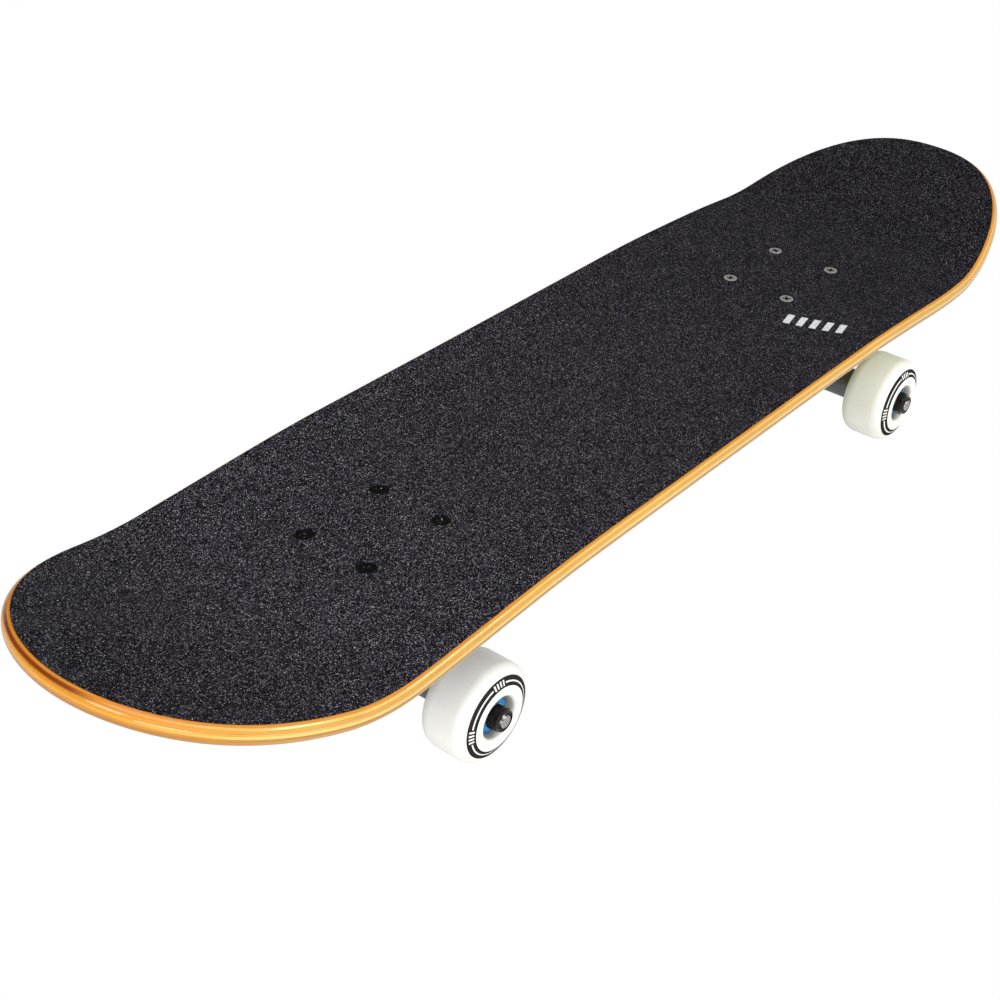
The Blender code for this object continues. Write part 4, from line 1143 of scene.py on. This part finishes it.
def build_hanger():
    """The cast hanger: a barrel for the axle, a ring between the bushings and a stem to the pivot."""
    along_axle = aim(AXLE, SIDEWAYS)
    on_kingpin = aim(RING, KINGPIN_UP)
    half, neck = HANGER_HALF_WIDTH, BARREL_RADIUS - 0.0012
    barrel = turned([(0, -half), (neck, -half), (BARREL_RADIUS, -half + 0.0025),
                     (BARREL_RADIUS, half - 0.0025), (neck, half), (0, half)], 48, along_axle)
    ring = rod(RING_RADIUS, -RING_HALF_THICKNESS, RING_HALF_THICKNESS, 64, on_kingpin, edge=0.0010)
    inset = 0.0006
    faces = [RING + KINGPIN_UP * t for t in (-RING_HALF_THICKNESS + inset, RING_HALF_THICKNESS - inset)]
    outwards = Vector((KINGPIN_UP.z, 0, -KINGPIN_UP.x))
    rim = [p for centre in faces for p in circle(centre, KINGPIN_UP, RING_RADIUS - inset, 48)
           if (p - RING).dot(outwards) > -0.001]
    core = [p for y in (-YOKE_HALF_WIDTH, YOKE_HALF_WIDTH)
            for p in circle(AXLE + SIDEWAYS * y, SIDEWAYS, YOKE_RADIUS, 32)]
    wings = []
    for side in (-1, 1):
        root = Vector((WING_ROOT.x, side * WING_ROOT.y, WING_ROOT.z))
        points = circle(root, SIDEWAYS, WING_ROOT_RADIUS, 20)
        for station in WING_STATIONS:
            points += circle(AXLE + SIDEWAYS * side * station, SIDEWAYS, WING_RADIUS, 28)
        wings.append(hull(points))
    tilts = [math.radians(-45 + 11.25 * step) for step in range(12)]
    ball = [(BALL_RADIUS * math.cos(a), STEM_LENGTH + BALL_RADIUS * math.sin(a)) for a in tilts]
    stem = turned([(0, 0), (0.0096, 0), (0.0092, 0.0120), (0.0068, 0.0270),
                   (0.0052, STEM_LENGTH - 0.0068), *ball, (0, STEM_LENGTH + BALL_RADIUS)],
                  48, aim(AXLE, STEM_UP))
    room = BUSHING_RADIUS + 0.0008
    cuts = [rod(RING_HOLE_RADIUS, -0.02, 0.02, 64, on_kingpin),
            rod(room, RING_HALF_THICKNESS, 0.05, 64, on_kingpin),
            rod(room, -0.05, -RING_HALF_THICKNESS, 64, on_kingpin),
            rod(AXLE_HOLE_RADIUS, -0.10, 0.10, 48, along_axle)]
    return cast("hanger", barrel, [ring, hull(rim + core), *wings, stem], cuts)


def build_axle():
    """The axle along +Z, with a thread at each end."""
    core = AXLE_RADIUS - THREAD_DEPTH
    half, start, dimple = AXLE_HALF_LENGTH, AXLE_THREAD_FROM, 0.0011
    profile = [(0, -half + 0.0008), (dimple, -half + 0.0001, 0.0002), (core, -half, 0.0009),
               (core, -start), (AXLE_RADIUS, -start + 0.0003), (AXLE_RADIUS, start - 0.0003),
               (core, start), (core, half, 0.0009), (dimple, half - 0.0001, 0.0002), (0, half - 0.0008)]
    ridges = [thread(AXLE_RADIUS, core - THREAD_SINK, 0.0010, low, high, 36)
              for low, high in ((-half + 0.0009, -start), (start, half - 0.0009))]
    return shade(as_mesh(joined(turned(profile, 64), *ridges), "axle"))


# ---------------------------------------------------------------- assembly


def add_piece(name, mesh, materials, body, matrix, replaced=None, bend=None):
    """An object for this mesh, which rides on a body and may stand for a CAD node.

    A piece given bend rides on no body: its place is baked into its mesh, and the bodies and points
    in bend are not used.
    """
    obj = bpy.data.objects.new(name, mesh)
    bpy.context.scene.collection.objects.link(obj)
    for index, material in enumerate(materials):
        if index < len(mesh.materials):
            mesh.materials[index] = material
        else:
            mesh.materials.append(material)
    obj.matrix_world = matrix
    if bend:
        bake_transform(obj)
    else:
        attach(obj, body)
    if replaced:
        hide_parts(replaced)
    return obj


def side_name(y):
    return "left" if y > 0 else "right"


def wheel_turn(truck, place):
    """How far a wheel at this place turns for its print to start from the board's +X."""
    ahead = (truck @ place).to_3x3().inverted() @ Vector((1, 0, 0))
    return math.atan2(ahead.y, ahead.x)


def add_truck(end, facing, x, meshes, paints):
    """One truck with its bolts and wheels. facing is 1 where its +X is the board's, and else -1."""
    truck = Matrix.Translation((x, 0, 0)) @ Matrix.Rotation(0 if facing > 0 else math.pi, 4, "Z")

    def add(node, mesh, materials, body, place=None, replaced=True):
        data = meshes[mesh]
        chosen = [paints[key] for key in materials]
        if data.materials and list(data.materials) != chosen:
            data = data.copy()
        name = f"{end}_{node}"
        matrix = truck @ place if place is not None else truck
        add_piece(name + "_look", data, chosen, body, matrix, name if replaced else None)

    add("baseplate", "baseplate", ["cast"], "board")
    add("pivot_cup", "pivot_cup", ["cup"], "board")
    add("kingpin", "kingpin", ["axle"], "board")
    hanger = end + "_hanger"
    for node, stations, bodies in (("top_bushing", TOP_BUSHING, (hanger, "board")),
                                   ("bottom_bushing", BOTTOM_BUSHING, ("board", hanger))):
        faces = [truck @ (RING + KINGPIN_UP * station) for station in stations]
        name = f"{end}_{node}"
        add_piece(name + "_look", meshes[node].copy(), [paints["bushing"]], None, truck, name,
                  (*bodies, *faces))
    add("top_washer", "top_washer", ["axle"], "board")
    add("bottom_washer", "bottom_washer", ["axle"], "board")
    nut = aim(RING + KINGPIN_UP * KINGPIN_NUT[1], -KINGPIN_UP)
    add("kingpin_nut", "kingpin_nut", ["axle"], "board", nut)
    # The front bolts' grey is a painted reflection on the same black finish that the rear bolts show.
    # The rear bolts' recesses hold painted highlights as bright specks.
    bolt = ["grey", "recess"] if end == "front" else ["black_bolt", "painted_highlights"]
    for row, along in (("inner", -BOLT_LONG), ("outer", BOLT_LONG)):
        for y in (BOLT_WIDE, -BOLT_WIDE):
            label = f"{row}_{side_name(y * facing)}"
            head = Matrix.Translation((along, y, DECK_TOP + BOLT_RISE))
            add(f"bolt_{label}", "mounting_bolt", bolt, "board",
                head @ Matrix.Rotation(BOLT_TURNS[label], 4, "Z"))
            under = Matrix.Translation((along, y, PLATE_TOP - PLATE_THICKNESS - GAP))
            add(f"nut_{label}", "bolt_nut", ["black"], "board",
                under @ Matrix.Rotation(math.pi, 4, "X"))

    add("hanger", "hanger", ["cast"], hanger)
    add("axle", "axle", ["axle"], hanger, aim(AXLE, SIDEWAYS))
    inner_back = INNER_BEARING_AT + BEARING_WIDTH
    for side in (1, -1):
        label = side_name(side * facing)
        wheel = f"{end}_wheel_{label}_body"
        outwards = SIDEWAYS * side

        def station(distance, direction=outwards):
            return aim(AXLE + outwards * distance, direction)

        def turned_about(place, angle):
            return place @ Matrix.Rotation(angle, 4, "Z")

        face = station(WHEEL_INNER_FACE)
        # The wheel's third material is the painted shade inside its bearing recess.
        add(f"wheel_{label}", "wheel", ["urethane", "print", "core"], wheel,
            turned_about(face, wheel_turn(truck, face)))
        for row, place in (("inner", station(inner_back, -outwards)),
                           ("outer", station(OUTER_BEARING_AT))):
            add(f"bearing_{row}_{label}", "bearing", ["race", "shield"], wheel, place)
        for node, mesh, body, distance, replaced in (
                ("bearing_spacer", "spacer", wheel, inner_back + GAP, False),
                ("speed_washer", "speed_washer", hanger, HANGER_HALF_WIDTH + GAP, False),
                ("axle_washer", "axle_washer", hanger, WASHER_AT, True)):
            add(f"{node}_{label}", mesh, ["axle"], body, station(distance), replaced)
        add(f"axle_nut_{label}", "axle_nut", ["black"], hanger,
            turned_about(station(AXLE_NUT_AT), AXLE_NUT_TURN))


def make_meshes():
    low_tip = BOTTOM_BUSHING_TIP
    return {
        "baseplate": build_baseplate(),
        "pivot_cup": build_pivot_cup(),
        "kingpin": build_kingpin(),
        "top_bushing": build_bushing("top_bushing", TOP_BUSHING, BUSHING_RADIUS, BUSHING_RADIUS),
        "bottom_bushing": build_bushing("bottom_bushing", BOTTOM_BUSHING, low_tip,
                                        BUSHING_RADIUS - 0.0005),
        "top_washer": build_kingpin_washer("top_washer", TOP_WASHER, BUSHING_RADIUS, -1),
        "bottom_washer": build_kingpin_washer("bottom_washer", BOTTOM_WASHER, low_tip + 0.001, 1),
        "kingpin_nut": hex_nut("kingpin_nut", KINGPIN_HEAD_FLATS, KINGPIN_HOLE_RADIUS, KINGPIN_NUT_HEX,
                               KINGPIN_NUT[1] - KINGPIN_NUT[0], KINGPIN_NUT_COLLAR_RADIUS),
        "hanger": build_hanger(),
        "axle": build_axle(),
        "mounting_bolt": build_mounting_bolt(),
        "bolt_nut": hex_nut("bolt_nut", BOLT_NUT_FLATS, BOLT_HOLE_RADIUS, BOLT_NUT_HEX,
                            BOLT_NUT_HEIGHT, BOLT_NUT_COLLAR_RADIUS),
        "wheel": build_wheel(),
        "bearing": build_bearing(),
        "spacer": build_spacer(),
        "speed_washer": build_washer(INNER_WASHER_RADIUS, BEARING_BORE_RADIUS, INNER_WASHER_THICKNESS),
        "axle_washer": build_washer(WASHER_RADIUS, BEARING_BORE_RADIUS, WASHER_THICKNESS),
        "axle_nut": hex_nut("axle_nut", AXLE_NUT_FLATS, BEARING_BORE_RADIUS, AXLE_NUT_HEX,
                            AXLE_NUT_HEIGHT, AXLE_NUT_COLLAR_RADIUS),
    }


# ---------------------------------------------------------------- camera, floor and light


def add_camera():
    data = bpy.data.cameras.new("camera")
    data.lens = CAMERA_LENS
    data.sensor_width = CAMERA_SENSOR
    camera = bpy.data.objects.new("camera", data)
    camera.location = CAMERA_PLACE
    camera.rotation_euler = CAMERA_TURN
    bpy.context.scene.collection.objects.link(camera)
    bpy.context.scene.camera = camera


def add_floor():
    """A plain floor that glows a little, as a light table does. The camera sees it pure white from
    above, and sees through it from below.
    """
    mesh = bpy.data.meshes.new("floor")
    corners = [(x * FLOOR_HALF, y * FLOOR_HALF, 0) for x, y in ((-1, -1), (1, -1), (1, 1), (-1, 1))]
    mesh.from_pydata(corners, [], [(0, 1, 2, 3)])
    floor = bpy.data.objects.new("floor", mesh)
    bpy.context.scene.collection.objects.link(floor)
    paint = Paint("white_floor", Base_Color=opaque(FLOOR_COLOUR), Roughness=0.9, Specular_IOR_Level=0.1,
                  Emission_Color=opaque(1.0), Emission_Strength=FLOOR_GLOW)
    seen, mirrored = (paint.add("Emission", {"Strength": power}).outputs[0]
                      for power in (1.0, FLOOR_MIRRORED))
    rays = paint.add("LightPath", {}).outputs
    lit = paint.join(rays["Is Glossy Ray"], paint.shader.outputs[0], mirrored)
    lit = paint.join(rays["Is Camera Ray"], lit, seen)
    from_below = paint.add("NewGeometry", {}).outputs["Backfacing"]
    whole = paint.join(from_below, lit, paint.add("BsdfTransparent", {}).outputs[0])
    paint.give(paint.tree.nodes["Material Output"].inputs["Surface"], whole)
    mesh.materials.append(paint.material)


def add_room():
    """A white room that is dim to one side and dimmer in reflections. The camera sees it pure white."""
    world = bpy.data.worlds.new("room")
    world.use_nodes = True
    nodes = Nodes(world.node_tree)
    direction = nodes.add("TexCoord", {}).outputs["Generated"]
    facing = nodes.add("VectorMath", {0: direction, 1: DIM_SIDE}, operation="DOT_PRODUCT")
    light = nodes.span(facing.outputs["Value"], *DIM_SPREAD, ROOM_LIGHT, DIM_LIGHT)
    dimmed = nodes.times(light, MIRRORED_SHARE)
    white = opaque(1.0)
    given, mirrored, seen = (nodes.add("Background", {"Color": white, "Strength": power}).outputs[0]
                             for power in (light, dimmed, 1.0))
    rays = nodes.add("LightPath", {}).outputs
    room = nodes.join(rays["Is Glossy Ray"], given, mirrored)
    whole = nodes.join(rays["Is Camera Ray"], room, seen)
    nodes.give(nodes.tree.nodes["World Output"].inputs["Surface"], whole)
    bpy.context.scene.world = world


def add_lights():
    for name, place, target, size, power in LIGHTS:
        data = bpy.data.lights.new(name, "AREA")
        data.shape = "RECTANGLE"
        data.size, data.size_y = size
        data.energy = power
        light = bpy.data.objects.new(name, data)
        light.location = place
        light.rotation_mode = "QUATERNION"
        light.rotation_quaternion = (Vector(target) - Vector(place)).to_track_quat("-Z", "Y")
        bpy.context.scene.collection.objects.link(light)


def main():
    scene = bpy.context.scene
    scene.view_settings.view_transform = "Standard"
    paints = make_materials()
    meshes = make_meshes()
    still = Matrix.Identity(4)
    wood = [paints[key] for key in ("rail", "underside", "maple", "recess")]
    grip = [paints["grip"]] * (HOLE_FACES + 1)
    add_piece("deck_look", build_deck(), wood, "board", still, "deck")
    add_piece("grip_tape_look", build_grip_tape(), grip, "board", still, "grip_tape")
    add_truck("front", 1, TRUCK_X, meshes, paints)
    add_truck("rear", -1, REAR_TRUCK_X, meshes, paints)
    add_camera()
    add_floor()
    add_room()
    add_lights()


main()
